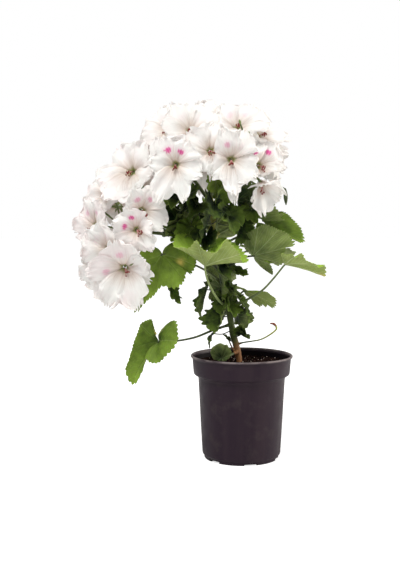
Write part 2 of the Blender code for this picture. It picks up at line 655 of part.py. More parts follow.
def facing_vector(degrees):
    """The unit vector that points so far right of the front and so far up."""
    turn, rise = (math.radians(angle) for angle in degrees)
    return Vector((math.sin(turn) * math.cos(rise), -math.cos(turn) * math.cos(rise), math.sin(rise)))


def bloom_frame(facing, spin):
    """The way a bloom faces, its upward way and its sideways way."""
    axis = facing_vector(facing)
    upward = UP if abs(axis.z) < 0.95 else Vector((0.0, 1.0, 0.0))
    up = (upward - upward.dot(axis) * axis).normalized()
    up = Matrix.Rotation(math.radians(spin), 3, axis) @ up
    return axis, up, up.cross(axis)


def petal_run(reach, length, opening):
    """How far out from the axis, and how far along it, a petal's middle line is at a reach of 0 to 1."""
    out, high = THROAT_RADIUS, -THROAT_DEPTH
    steps = 12
    for step in range(steps):
        part = (step + 0.5) / steps * reach
        lean = math.radians(CLAW_ANGLE + (OPEN_ANGLE * opening - CLAW_ANGLE) * (1 - (1 - part) ** 2.4))
        out += math.sin(lean) * reach / steps * length
        high += math.cos(lean) * reach / steps * length
    return out, high


def petal_half_width(reach, out, widest):
    """The half width at a reach of 0 to 1: a narrow claw in its fifth of the circle, then a round blade."""
    if reach < WIDEST_REACH:
        blade = widest * math.sin(reach / WIDEST_REACH * math.pi / 2) ** 0.8
    else:
        blade = widest * math.sqrt(1.0 - ((reach - WIDEST_REACH) / TIP_ROUNDING) ** 2)
    return min(CLAW_SPREAD * out, blade)


def petal_point(bloom, petal, reach, side):
    """A point on the middle surface of a petal, before its neighbours press on it."""
    throat, (axis, up, right), length, opening = bloom
    turn, long, wide = PETALS[petal]
    out, high = petal_run(reach * (1.0 - TIP_DROP * side * side), length * long, opening)
    turn = math.radians(turn)
    outward = math.cos(turn) * up + math.sin(turn) * right
    sideways = -math.sin(turn) * up + math.cos(turn) * right
    half = petal_half_width(reach, out, length * wide)
    lift = OVERLAP_LIFT * side * min(1.0, 2.0 * reach)
    phase = petal * 2.1 + throat.x * 0.3 + throat.z * 0.2
    ruffle = RUFFLE * reach**2 * math.sin(phase + side * 2.6)
    return throat + outward * out + sideways * (half * side) + axis * (high + lift + ruffle)


def bloom_cells(blooms):
    """For each bloom, the slanted planes that share the room between it and its neighbours."""
    cells = {name: [] for name in blooms}
    names = list(blooms)
    for index, first in enumerate(names):
        for second in names[index + 1:]:
            here, there = blooms[first], blooms[second]
            gap = there[0] - here[0]
            reach = here[2] + there[2]
            if gap.length > reach:
                continue
            between = gap.normalized()
            outward = here[1][0] + there[1][0]
            outward = outward - outward.dot(between) * between
            over = gap.dot(here[1][0] + there[1][0]) > 0.0
            slant = gap.length / CELL_SLANT_DEPTH * min(1.0, outward.length)
            normal = (between + (slant if over else -slant) * outward.normalized()).normalized()
            middle = (here[0] + there[0]) / 2
            cells[first].append((middle, normal))
            cells[second].append((middle, -normal))
    return cells


def confine(point, planes, margin):
    """Eases a point back inside every plane, by a smooth push that grows towards the plane."""
    for _ in range(3):
        for middle, normal in planes:
            over = (point - middle).dot(normal) + margin
            if over > -CELL_SOFTNESS:
                eased = -CELL_SOFTNESS * math.exp(-(over + CELL_SOFTNESS) / CELL_SOFTNESS)
                point = point - normal * (over - eased)
    return point


def throat_corners(bloom):
    """The corners of the throat's floor, each between two petals."""
    throat, (axis, up, right), length, opening = bloom
    turns = [row[0] for row in PETALS]
    corners = []
    for before, after in zip(turns[-1:] + turns, turns):
        before = before - 360.0 if before > after else before
        turn = math.radians((before + after) / 2)
        side = math.cos(turn) * up + math.sin(turn) * right
        corners.append(throat + THROAT_FLOOR_RADIUS * side - THROAT_DEPTH * axis)
    return corners


def build_bloom(name, bloom, planes):
    """Five ruffled petals on a short throat, with the stamens, fused into one body."""
    throat, (axis, up, right), length, opening = bloom
    bm = bmesh.new()
    corners = [bm.verts.new(corner) for corner in throat_corners(bloom)]
    bm.faces.new(corners)
    for petal in range(len(PETALS)):
        margin = CELL_MARGIN + PETAL_STEP * PETAL_LAYERS[petal]
        last = [corners[petal], corners[(petal + 1) % len(PETALS)]]
        for reach in PETAL_ROWS:
            row = [
                bm.verts.new(confine(petal_point(bloom, petal, reach, side), planes, margin))
                for side in (-1.0, 0.0, 1.0)
            ]
            if len(last) == 2:
                bm.faces.new((last[0], row[1], row[0]))
                bm.faces.new((last[0], last[1], row[1]))
                bm.faces.new((last[1], row[2], row[1]))
            else:
                bm.faces.new((last[0], last[1], row[1], row[0]))
                bm.faces.new((last[1], last[2], row[2], row[1]))
            last = row
    column = [
        throat - axis * (THROAT_DEPTH + RECEPTACLE), throat - axis * (THROAT_DEPTH - 1.0),
        throat - axis - up * STAMEN_DROOP,
    ]
    fuse(name, [thicken(bm, PETAL_THICKNESS), tube(column, COLUMN_RADII, COLUMN_SIDES)], "petal")


def build_heads(blooms):
    """The stalk of each head with its branches. Returns the stubs on the stem that carry them."""
    stubs = []
    for head, (root, way, middle) in HEADS.items():
        stub, path = stub_and_stalk([root, way, middle], HEAD_STALK_RADII[0])
        stubs.append(stub)
        pieces = [tube(path, tapered(path, HEAD_STALK_RADII), HEAD_STALK_SIDES)]
        middle = Vector(middle)
        for name, row in BLOOMS.items():
            if row[0] != head:
                continue
            throat, (axis, up, right), length, opening = blooms[name]
            end = throat - axis * (THROAT_DEPTH + RECEPTACLE + JOINT_GAP)
            bend = (end - middle).length * BRANCH_BEND
            a, b = middle + (end - middle).normalized() * bend, end - axis * bend
            curve = [
                middle * (1 - t) ** 3 + a * 3 * t * (1 - t) ** 2 + b * 3 * t * t * (1 - t) + end * t**3
                for t in BRANCH_STEPS
            ]
            pieces.append(tube(curve, BRANCH_RADII, BRANCH_SIDES))
        fuse("stalks_" + head, pieces, "stalk")
    return stubs


def clear_scene():
    """Removes whatever the file holds at the start."""
    for old in list(bpy.data.objects):
        bpy.data.objects.remove(old)


clear_scene()
build_pot()
build_soil()
stem_points, stem_radii = stem_path()
stem_pieces = [tube(stem_points, stem_radii, STEM_SIDES)]
for leaf_name, leaf_row in LEAVES.items():
    stem_pieces.append(build_leaf(leaf_name, leaf_row))
all_blooms = {
    name: (Vector(throat), bloom_frame(facing, spin), length, opening)
    for name, (_, throat, facing, spin, length, opening) in BLOOMS.items()
}
for shoot_name, shoot_row in SHOOTS.items():
    stem_pieces.append(build_shoot(shoot_name, shoot_row))
stem_pieces.append(build_withered_stalk())
stem_pieces.append(tube(SPROUT, SPROUT_RADII, LEAF_STALK_SIDES))
for leaf in STEM_LEAVES:
    stem_pieces.append(small_leaf(*leaf, stem_points))
stem_pieces += build_heads(all_blooms)
fuse("main_stem", stem_pieces, "stem")
all_cells = bloom_cells(all_blooms)
for bloom_name, bloom_row in all_blooms.items():
    build_bloom(bloom_name, bloom_row, all_cells[bloom_name])
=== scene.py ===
"""The look of a potted regal pelargonium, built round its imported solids.

X is to the right, Y is to the back and Z is up, from the middle of the pot's base. The tables hold
millimetres, and every mesh is brought to metres as it is put in the scene.
"""

import math
import random

import bmesh
import bpy
from mathutils import Matrix, Vector, noise


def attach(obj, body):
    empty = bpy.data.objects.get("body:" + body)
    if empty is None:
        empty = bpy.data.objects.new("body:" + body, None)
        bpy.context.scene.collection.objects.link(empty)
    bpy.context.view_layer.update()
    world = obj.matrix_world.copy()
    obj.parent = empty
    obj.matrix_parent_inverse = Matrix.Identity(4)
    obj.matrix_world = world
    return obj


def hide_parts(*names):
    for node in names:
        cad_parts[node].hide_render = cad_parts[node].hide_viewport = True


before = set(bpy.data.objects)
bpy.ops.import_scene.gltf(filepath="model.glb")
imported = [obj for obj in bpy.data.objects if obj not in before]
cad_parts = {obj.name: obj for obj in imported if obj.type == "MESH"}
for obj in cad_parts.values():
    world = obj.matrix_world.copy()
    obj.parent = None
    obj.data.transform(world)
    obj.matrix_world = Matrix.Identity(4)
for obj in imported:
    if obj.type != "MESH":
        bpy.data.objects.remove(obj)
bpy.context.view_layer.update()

# Studio

# The plant stands on a plain white floor in a white studio. One large soft light hangs in front of it
# and a little to the left, and a weaker warm one stands on the right. The camera looks slightly down.
MM = 0.001
FLOOR_RADIUS = 9000.0
CAMERA_PLACE = (-0.049, -1.080, 0.289)
CAMERA_TILT = math.radians(85.5)
CAMERA_LENS = 58.5
SENSOR = 36.0
LIGHTS = {
    "key_light": ((-0.55, -1.15, 2.1), (-0.05, 0.0, 0.28), 0.9, 40.0, (1.0, 0.985, 0.96)),
    "right_light": ((1.4, 0.1, 0.45), (0.0, 0.0, 0.12), 0.6, 13.0, (1.0, 0.93, 0.86)),
}


def wire(tree, kind, inputs=None, **settings):
    """Adds a shader node, sets it up, and gives its inputs their values or other nodes' outputs."""
    made = tree.nodes.new("ShaderNode" + kind)
    for name, value in settings.items():
        setattr(made, name, value)
    for key, value in (inputs or {}).items():
        if isinstance(value, bpy.types.NodeSocket):
            tree.links.new(value, made.inputs[key])
        else:
            made.inputs[key].default_value = value
    return made


def new_finish(name, **values):
    """A new finish, with the values that are the same all over it. Returns it, its tree and its shader."""
    made = bpy.data.materials.new(name)
    made.use_nodes = True
    shader = made.node_tree.nodes["Principled BSDF"]
    for key, value in values.items():
        shader.inputs[key.replace("_", " ")].default_value = value
    return made, made.node_tree, shader


def set_down(name, bm, *finishes):
    """Brings a mesh from millimetres to metres and puts it in the scene with its finishes."""
    bmesh.ops.scale(bm, vec=(MM, MM, MM), verts=bm.verts)
    mesh = bpy.data.meshes.new(name)
    bm.to_mesh(mesh)
    bm.free()
    for finish in finishes:
        mesh.materials.append(finish)
    mesh.shade_smooth()
    mesh.set_sharp_from_angle(angle=math.radians(60.0))
    made = bpy.data.objects.new(name, mesh)
    bpy.context.scene.collection.objects.link(made)
    return made


def soft_light(name, place, aim, size, power, colour):
    """A round soft light, turned to what it lights."""
    lamp = bpy.data.lights.new(name, "AREA")
    lamp.shape = "DISK"
    lamp.size = size
    lamp.energy = power
    lamp.color = colour
    made = bpy.data.objects.new(name, lamp)
    made.location = place
    made.rotation_euler = (Vector(aim) - Vector(place)).to_track_quat("-Z", "Y").to_euler()
    bpy.context.scene.collection.objects.link(made)


floor_paint, floor_tree, floor_shader = new_finish(
    "floor_paint", Base_Color=(0.80, 0.80, 0.80, 1.0), Roughness=0.9, Emission_Color=(1.0, 1.0, 1.0, 1.0),
    Emission_Strength=0.72,
)
floor_shade = wire(floor_tree, "BsdfDiffuse", {"Color": (0.80, 0.80, 0.80, 1.0)})
floor_look = wire(
    floor_tree, "MixShader",
    {0: wire(floor_tree, "LightPath").outputs["Is Camera Ray"], 1: floor_shade.outputs[0],
     2: floor_shader.outputs[0]},
)
floor_tree.links.new(floor_look.outputs[0], floor_tree.nodes["Material Output"].inputs["Surface"])
disc = bmesh.new()
bmesh.ops.create_circle(disc, cap_ends=True, segments=128, radius=FLOOR_RADIUS)
set_down("floor", disc, floor_paint)

for light_name, light_row in LIGHTS.items():
    soft_light(light_name, *light_row)

studio = bpy.data.worlds.new("studio")
studio.use_nodes = True
bpy.context.scene.world = studio
studio_tree = studio.node_tree
studio_glow = studio_tree.nodes["Background"]
studio_glow.inputs["Color"].default_value = (1.0, 1.0, 1.0, 1.0)
studio_glow.inputs["Strength"].default_value = 0.42
seen_wall = wire(studio_tree, "Background", {"Color": (1.0, 1.0, 1.0, 1.0), "Strength": 1.0})
seen_or_lit = wire(
    studio_tree, "MixShader",
    {0: wire(studio_tree, "LightPath").outputs["Is Camera Ray"], 1: studio_glow.outputs[0],
     2: seen_wall.outputs[0]},
)
studio_tree.links.new(seen_or_lit.outputs[0], studio_tree.nodes["World Output"].inputs["Surface"])
bpy.context.scene.view_settings.view_transform = "Standard"

lens = bpy.data.cameras.new("camera")
lens.lens = CAMERA_LENS
lens.sensor_width = SENSOR
camera = bpy.data.objects.new("camera", lens)
camera.location = CAMERA_PLACE
camera.rotation_euler = (CAMERA_TILT, 0.0, 0.0)
bpy.context.scene.collection.objects.link(camera)
bpy.context.scene.camera = camera

# Pot

# A 12 cm nursery pot: one thin moulding of dark recycled plastic with a satin skin. Its collar steps
# out from the body, its lip is rolled over and painted pale in patches, partly as wear and partly as a
# painted highlight, six drainage slots are cut round the edge of its foot, and its inner side is painted
# near black, partly as painted shade and partly as damp.
POT_STEPS = 96
POT_PROFILE = (
    (0.0, 0.0), (42.4, 0.0), (43.3, 0.3), (43.7, 1.0), (44.0, 3.9), (44.4, 4.5), (45.3, 5.0), (45.9, 5.8),
    (46.15, 7.2), (47.9, 38.0), (49.6, 70.0), (50.9, 93.6), (51.2, 95.6), (52.2, 97.2), (54.8, 98.9),
    (55.9, 99.6), (56.4, 100.6), (56.6, 102.0), (57.3, 110.0), (57.9, 117.6), (58.2, 118.8), (59.2, 119.3),
    (59.8, 119.9), (60.0, 120.7), (59.7, 121.5), (59.0, 122.0), (58.2, 121.9), (57.5, 121.3), (57.0, 120.0),
    (56.6, 118.0), (55.4, 103.0), (54.9, 101.8), (53.4, 100.4), (50.2, 97.6), (49.6, 95.8), (47.0, 45.0),
    (44.6, 7.6), (43.6, 5.4), (42.0, 2.0), (0.0, 2.0),
)
SLOT_COUNT = 6
SLOT_SIZE = (12.0, 15.0, 4.8)
SLOT_RADIUS = 43.6
FIRST_SLOT_TURN = math.radians(-78.0)
POT_COLOUR = (0.018, 0.008, 0.017)
POT_STREAK_COLOUR = (0.026, 0.014, 0.022)
DUST_COLOUR = (0.055, 0.043, 0.042)
# Pale lip colour: partly wear, partly a painted highlight on the rolled edge
LIP_WEAR_AND_HIGHLIGHT_COLOUR = (0.330, 0.280, 0.275)
LIP_FOOT, LIP_TOP = 0.1190, 0.1215
# Painted shade for the pot's inside, which also stands for damp
SHADED_DAMP_COLOUR = (0.004, 0.002, 0.004)
SHADED_DAMP_STAIN_COLOUR = (0.011, 0.007, 0.008)


def turned(profile, steps):
    """Turns a profile of radius and height round the Z axis. It starts and ends on the axis."""
    bm = bmesh.new()
    points = [bm.verts.new((radius, 0.0, height)) for radius, height in profile]
    edges = [bm.edges.new(pair) for pair in zip(points, points[1:])]
    bmesh.ops.spin(
        bm, geom=points + edges, cent=(0.0, 0.0, 0.0), axis=(0.0, 0.0, 1.0), angle=math.tau,
        steps=steps, use_merge=True,
    )
    bmesh.ops.remove_doubles(bm, verts=bm.verts, dist=0.001)
    bmesh.ops.recalc_face_normals(bm, faces=bm.faces)
    return bm


def maths(tree, operation, *values):
    """One sum on values or outputs."""
    return wire(tree, "Math", dict(enumerate(values)), operation=operation).outputs[0]


def times(tree, first, second):
    """The product of two values or outputs."""
    return maths(tree, "MULTIPLY", first, second)


def eased(tree, value, low, high):
    """A value brought softly to 0 at low and to 1 at high."""
    made = wire(tree, "MapRange", {0: value, 1: low, 2: high}, interpolation_type="SMOOTHSTEP")
    return made.outputs[0]


def tinted(tree, share, first, second):
    """Goes from the first colour to the second by a share. Plain colours are given as red, green, blue."""
    first, second = [(*hue, 1.0) if isinstance(hue, tuple) else hue for hue in (first, second)]
    return wire(tree, "Mix", {0: share, 6: first, 7: second}, data_type="RGBA").outputs[2]


def place_in(tree, scale=(1.0, 1.0, 1.0)):
    """The place on the object, in metres, stretched along its three ways."""
    place = wire(tree, "TexCoord").outputs["Object"]
    return wire(tree, "Mapping", {"Vector": place, "Scale": scale}).outputs[0]


def speckle(tree, where, scale, detail=3.0):
    """Soft noise from 0 to 1."""
    return wire(tree, "TexNoise", {"Vector": where, "Scale": scale, "Detail": detail}).outputs[0]


def apply_modifiers(target):
    """Keeps what an object's modifiers make as its own mesh."""
    graph = bpy.context.evaluated_depsgraph_get()
    mesh = bpy.data.meshes.new_from_object(target.evaluated_get(graph))
    target.modifiers.clear()
    target.data = mesh


def dress(piece, slot, *nodes):
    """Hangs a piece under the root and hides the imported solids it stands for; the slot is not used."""
    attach(piece, "root")
    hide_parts(*nodes)


pot_plastic, pot_tree, pot_shader = new_finish("pot_plastic", Specular_IOR_Level=0.2)
flow_lines = speckle(pot_tree, place_in(pot_tree, (60.0, 60.0, 3.0)), 1.0, 4.0)
scuffs = speckle(pot_tree, place_in(pot_tree), 55.0, 8.0)
grit = speckle(pot_tree, place_in(pot_tree), 900.0)
dust = times(pot_tree, eased(pot_tree, scuffs, 0.52, 0.75), 0.35)
pot_hue = tinted(pot_tree, eased(pot_tree, flow_lines, 0.35, 0.7), POT_COLOUR, POT_STREAK_COLOUR)
pot_hue = tinted(pot_tree, dust, pot_hue, DUST_COLOUR)
pot_height = wire(pot_tree, "SeparateXYZ", {0: place_in(pot_tree)}).outputs["Z"]
# Painted highlight: the top of the lip is painted pale in worn-looking patches, standing partly for its shine
# and partly for wear
lip_share = eased(pot_tree, pot_height, LIP_FOOT, LIP_TOP)
lip_wear_and_highlight = times(pot_tree, lip_share, eased(pot_tree, scuffs, 0.25, 0.62))
pot_hue = tinted(pot_tree, times(pot_tree, lip_wear_and_highlight, 0.6), pot_hue, LIP_WEAR_AND_HIGHLIGHT_COLOUR)
pot_tree.links.new(pot_hue, pot_shader.inputs["Base Color"])
pot_gloss = wire(pot_tree, "MapRange", {0: scuffs, 1: 0.3, 2: 0.75, 3: 0.34, 4: 0.56})
pot_tree.links.new(pot_gloss.outputs[0], pot_shader.inputs["Roughness"])
pot_skin = wire(pot_tree, "Bump", {"Strength": 0.25, "Distance": 0.0003, "Height": grit})
pot_tree.links.new(pot_skin.outputs[0], pot_shader.inputs["Normal"])

# Painted shade: the inside of the pot below its lip takes this near-black finish, partly as shadow and partly
# as damp
shaded_damp_plastic, shaded_damp_tree, shaded_damp_shader = new_finish("shaded_damp_plastic", Roughness=0.6, Specular_IOR_Level=0.08)
shaded_damp_stains = speckle(shaded_damp_tree, place_in(shaded_damp_tree), 70.0, 5.0)
shaded_damp_hue = tinted(shaded_damp_tree, eased(shaded_damp_tree, shaded_damp_stains, 0.35, 0.7), SHADED_DAMP_COLOUR, SHADED_DAMP_STAIN_COLOUR)
shaded_damp_tree.links.new(shaded_damp_hue, shaded_damp_shader.inputs["Base Color"])

pot = set_down("nursery_pot", turned(POT_PROFILE, POT_STEPS), pot_plastic, shaded_damp_plastic)
for index in range(SLOT_COUNT):
    slot_box = bmesh.new()
    bmesh.ops.create_cube(slot_box, size=1.0)
    bmesh.ops.scale(slot_box, vec=SLOT_SIZE, verts=slot_box.verts)
    turn = Matrix.Rotation(FIRST_SLOT_TURN + math.tau * index / SLOT_COUNT, 4, "Z")
    bmesh.ops.transform(
        slot_box, matrix=turn @ Matrix.Translation((SLOT_RADIUS, 0.0, 0.0)), verts=slot_box.verts
    )
    cutter = set_down("slot_cutter", slot_box, pot_plastic)
    slot_cut = pot.modifiers.new("Slot", "BOOLEAN")
    slot_cut.operation = "DIFFERENCE"
    slot_cut.object = cutter
    apply_modifiers(pot)
    bpy.data.objects.remove(cutter)
# The inward faces below the lip get the painted-shade finish
for face in pot.data.polygons:
    inward = face.normal.x * face.center.x + face.normal.y * face.center.y < 0.0
    if inward and face.center.z < LIP_FOOT:
        face.material_index = 1
dress(pot, "pot", "pot")

# Soil

# A peat potting mix that fills the pot to 9 mm below its lip. Loose crumbs lie on its rough top, and
# grains of white perlite are mixed in with them.
SOIL_STEPS = 90
SOIL_LEVEL = 113.0
SOIL_SIDE = (
    (0.0, 2.35), (41.5, 2.35), (44.2, 8.0), (46.6, 45.0), (49.0, 96.5), (54.4, 102.3), (55.0, 110.5),
)
SOIL_RINGS = 30
SOIL_RADIUS = 54.2
CRUMBS = 620
CRUMB_SIZES = (0.7, 2.1)
GRAINS = 110
GRAIN_SIZES = (0.4, 0.95)
PEAT_COLOUR = (0.004, 0.002, 0.002)
PEAT_LUMP_COLOUR = (0.040, 0.016, 0.011)


def soil_height(x, y):
    """How high the rough top of the soil is above a place, in millimetres."""
    lumps = noise.noise(Vector((x * 0.11, y * 0.11, 0.0))) * 1.4
    clods = noise.noise(Vector((x * 0.34, y * 0.34, 5.0))) * 0.9
    return SOIL_LEVEL - 0.4 + lumps + clods + noise.noise(Vector((x, y, 9.0))) * 0.5


def scatter(bm, count, sizes, sink, seed):
    """Lays small uneven lumps on the top of the soil."""
    dice = random.Random(seed)
    for _ in range(count):
        size = dice.uniform(*sizes)
        radius = (SOIL_RADIUS - 2.5) * math.sqrt(dice.random())
        turn = dice.uniform(0.0, math.tau)
        x, y = radius * math.cos(turn), radius * math.sin(turn)
        lump = bmesh.ops.create_icosphere(bm, subdivisions=1, radius=size)["verts"]
        for vert in lump:
            vert.co *= dice.uniform(0.75, 1.2)
        bmesh.ops.scale(bm, vec=[dice.uniform(0.6, 1.2) for _ in range(3)], verts=lump)
        bmesh.ops.rotate(bm, matrix=Matrix.Rotation(dice.uniform(0.0, math.pi), 3, "X"), verts=lump)
        bmesh.ops.translate(bm, vec=(x, y, soil_height(x, y) + size * sink), verts=lump)
    return bm


peat, peat_tree, peat_shader = new_finish("peat", Roughness=0.95, Specular_IOR_Level=0.06)
peat_lumps = speckle(peat_tree, place_in(peat_tree), 260.0, 6.0)
peat_hue = tinted(peat_tree, eased(peat_tree, peat_lumps, 0.35, 0.7), PEAT_COLOUR, PEAT_LUMP_COLOUR)
peat_tree.links.new(peat_hue, peat_shader.inputs["Base Color"])
peat_bump = wire(peat_tree, "Bump", {"Strength": 0.8, "Distance": 0.001, "Height": peat_lumps})
peat_tree.links.new(peat_bump.outputs[0], peat_shader.inputs["Normal"])
perlite, perlite_tree, perlite_shader = new_finish("perlite", Roughness=0.85)
perlite_spots = speckle(perlite_tree, place_in(perlite_tree), 900.0)
perlite_hue = tinted(perlite_tree, perlite_spots, (0.30, 0.20, 0.17), (0.74, 0.66, 0.60))
perlite_tree.links.new(perlite_hue, perlite_shader.inputs["Base Color"])

soil_rings = [
    (SOIL_RADIUS * (1 - ring / SOIL_RINGS), SOIL_LEVEL + 0.001 * ring) for ring in range(SOIL_RINGS + 1)
]
root_ball = turned((*SOIL_SIDE, *soil_rings), SOIL_STEPS)
for vert in root_ball.verts:
    if vert.co.z > SOIL_LEVEL - 1.0:
        vert.co.z = soil_height(vert.co.x, vert.co.y)
dress(set_down("root_ball", root_ball, peat), "soil", "soil")
dress(set_down("soil_crumbs", scatter(bmesh.new(), CRUMBS, CRUMB_SIZES, 0.1, 3), peat), "soil", "soil")
dress(set_down("perlite_grains", scatter(bmesh.new(), GRAINS, GRAIN_SIZES, 0.35, 8), perlite), "soil", "soil")

# Main stem

# One upright stem grown from a cutting: corky and orange-brown where it leaves the soil, green above,
# turning a paler olive in the crown as painted light against the blooms' shade, and a little thicker at
# each joint. Everything else grows from short swollen stubs on it.
STEM_STEPS = 6
STEM_SIDES = 14
JOINT_SPACING = 21.0
JOINT_SWELL = 0.13
BARK_TOP = 0.136
STUB_LENGTH = 7.0
STUB_FOOT_FLARE = 1.5
STUB_TIP_FLARE = 1.1
STEM = (
    ((-1.0, 1.0, 62.0), 3.0), ((-2.5, 0.0, 100.0), 3.3), ((-3.0, 0.0, 116.0), 3.5), ((-6.5, 0.0, 133.0), 3.9),
    ((-10.0, 0.0, 146.0), 4.0), ((-14.5, 0.0, 170.0), 3.6), ((-20.0, 0.0, 198.0), 3.4),
    ((-27.0, 0.0, 233.0), 3.2), ((-31.0, 1.0, 257.0), 3.0), ((-34.0, 2.0, 280.0), 2.7),
    ((-36.0, 3.0, 303.0), 2.4),
)
SPROUT = ((-5.0, -2.0, 122.0), (-11.0, -4.0, 130.0), (-16.0, -5.0, 141.0))
SPROUT_RADII = (1.2, 1.0, 0.7)


def smooth_way(points, steps):
    """Fills in a path with a smooth curve through its points (Catmull-Rom)."""
    points = [Vector(point) for point in points]
    ends = [points[0] * 2 - points[1], *points, points[-1] * 2 - points[-2]]
    way = []
    for a, b, c, d in zip(ends, ends[1:], ends[2:], ends[3:]):
        for step in range(steps):
            t = step / steps
            way.append((
                2 * b + (c - a) * t + (2 * a - 5 * b + 4 * c - d) * t**2 + (3 * b - a - 3 * c + d) * t**3
            ) / 2)
    return [*way, points[-1]]


def spread_radii(radii, count):
    """A radius for each of so many points, by straight lines between the given ones."""
    made = []
    for index in range(count):
        place = index / (count - 1) * (len(radii) - 1)
        low = min(int(place), len(radii) - 2)
        made.append(radii[low] + (radii[low + 1] - radii[low]) * (place - low))
    return made


def faces_of(verts):
    """The faces that these points belong to, each once and always in the same order."""
    return list(dict.fromkeys(face for vert in verts for face in vert.link_faces))


def roll_tube(bm, way, radii, sides, slot=0):
    """A closed round stalk along a way: a grid rolled up, with its seam merged and its ends filled."""
    along = [(b - a).normalized() for a, b in zip(way, way[1:])]
    along.append(along[-1])
    across = along[0].orthogonal().normalized()
    frames = []
    for index in range(len(way)):
        normal = (along[max(index - 1, 0)] + along[index]).normalized()
        across = (across - across.dot(normal) * normal).normalized()
        frames.append((across, normal.cross(across)))
    rows = len(way) - 1
    verts = bmesh.ops.create_grid(bm, x_segments=sides, y_segments=rows, size=1.0)["verts"]
    faces = faces_of(verts)
    for vert in verts:
        side, row = round((vert.co.x + 1) / 2 * sides), round((vert.co.y + 1) / 2 * rows)
        turn = math.tau * side / sides
        vert.co = way[row] + radii[row] * (math.cos(turn) * frames[row][0] + math.sin(turn) * frames[row][1])
    bmesh.ops.remove_doubles(bm, verts=verts, dist=0.0005)
    faces = [face for face in faces if face.is_valid]
    rims = list(dict.fromkeys(edge for face in faces for edge in face.edges if edge.is_boundary))
    faces += bmesh.ops.holes_fill(bm, edges=rims, sides=0)["faces"]
    bmesh.ops.recalc_face_normals(bm, faces=faces)
    for face in faces:
        face.material_index = slot
    return faces


def add_stub(bm, points, radius):
    """The swollen foot of a stalk or shoot, on the stem."""
    start, toward = Vector(points[0]), Vector(points[1])
    end = start + (toward - start).normalized() * STUB_LENGTH
    roll_tube(bm, smooth_way([start, end], 4), [
        radius * flare for flare in (STUB_FOOT_FLARE * 1.1, STUB_FOOT_FLARE, 1.35, 1.2, STUB_TIP_FLARE)
    ], 10)


stem_skin, stem_tree, stem_shader = new_finish("stem_skin", Roughness=0.62, Specular_IOR_Level=0.35)
stem_height = wire(stem_tree, "SeparateXYZ", {0: place_in(stem_tree)}).outputs["Z"]
stem_streaks = speckle(stem_tree, place_in(stem_tree, (500.0, 500.0, 60.0)), 1.0, 5.0)
stem_patches = speckle(stem_tree, place_in(stem_tree), 70.0)
bark_line = maths(stem_tree, "ADD", stem_height, times(stem_tree, stem_patches, 0.024))
bark_share = eased(stem_tree, bark_line, BARK_TOP + 0.022, BARK_TOP)
stem_green = tinted(stem_tree, stem_streaks, (0.030, 0.055, 0.012), (0.115, 0.150, 0.030))
stem_bark = tinted(stem_tree, stem_streaks, (0.130, 0.050, 0.020), (0.400, 0.190, 0.070))
stem_hue = tinted(stem_tree, bark_share, stem_green, stem_bark)
# Painted light: from 225 mm up the stem is mixed to a pale olive, lifting the shade that the blooms cast on
# it
stem_hue = tinted(stem_tree, eased(stem_tree, stem_height, 0.225, 0.260), stem_hue, (0.330, 0.340, 0.090))
stem_tree.links.new(stem_hue, stem_shader.inputs["Base Color"])
stem_bump = wire(stem_tree, "Bump", {"Strength": 0.5, "Distance": 0.0005, "Height": stem_streaks})
stem_tree.links.new(stem_bump.outputs[0], stem_shader.inputs["Normal"])

stem_way = smooth_way([point for point, radius in STEM], STEM_STEPS)
stem_radii = spread_radii([radius for point, radius in STEM], len(stem_way))
stem_radii = [
    radius * (1 + JOINT_SWELL * max(0.0, math.cos(math.tau * point.z / JOINT_SPACING)) ** 6)
    for point, radius in zip(stem_way, stem_radii)
]
stem = bmesh.new()
roll_tube(stem, stem_way, stem_radii, STEM_SIDES)
roll_tube(stem, smooth_way(SPROUT, 5), spread_radii(SPROUT_RADII, 11), 8)

# Large leaves

# Round, toothed leaves on long stalks. A blade is one soft sheet, puckered between seven main veins
# that fan out from its stalk, matt green above, and paler and greyer with raised veins below.
LEAF_SKIN = 0.45
EDGE_MEAN = 0.72
EDGE_SKEW = 0.23
EDGE_LOBE = 0.05
EDGE_LOBES = 7.2
SINUS_START = 0.86
SINUS_DEPTH = 0.85
NOTCH = 0.90
WAVE = 0.035
BILLOWS = 3.0
VEIN_SPREAD = 0.873
LEAF_SPOKES = 212
LEAF_RINGS = 13
LEAF_TEETH = 53
TOOTH_SIZE = 0.075
PUCKER = 0.024
VALLEY = 0.010
RUFFLE = 0.027
EDGE_STEPS = 8
LEAF_STALK_RADII = (1.65, 1.15, 1.0)
SMOOTH_LEAVES = {"leaf_in_pot": 0.12}
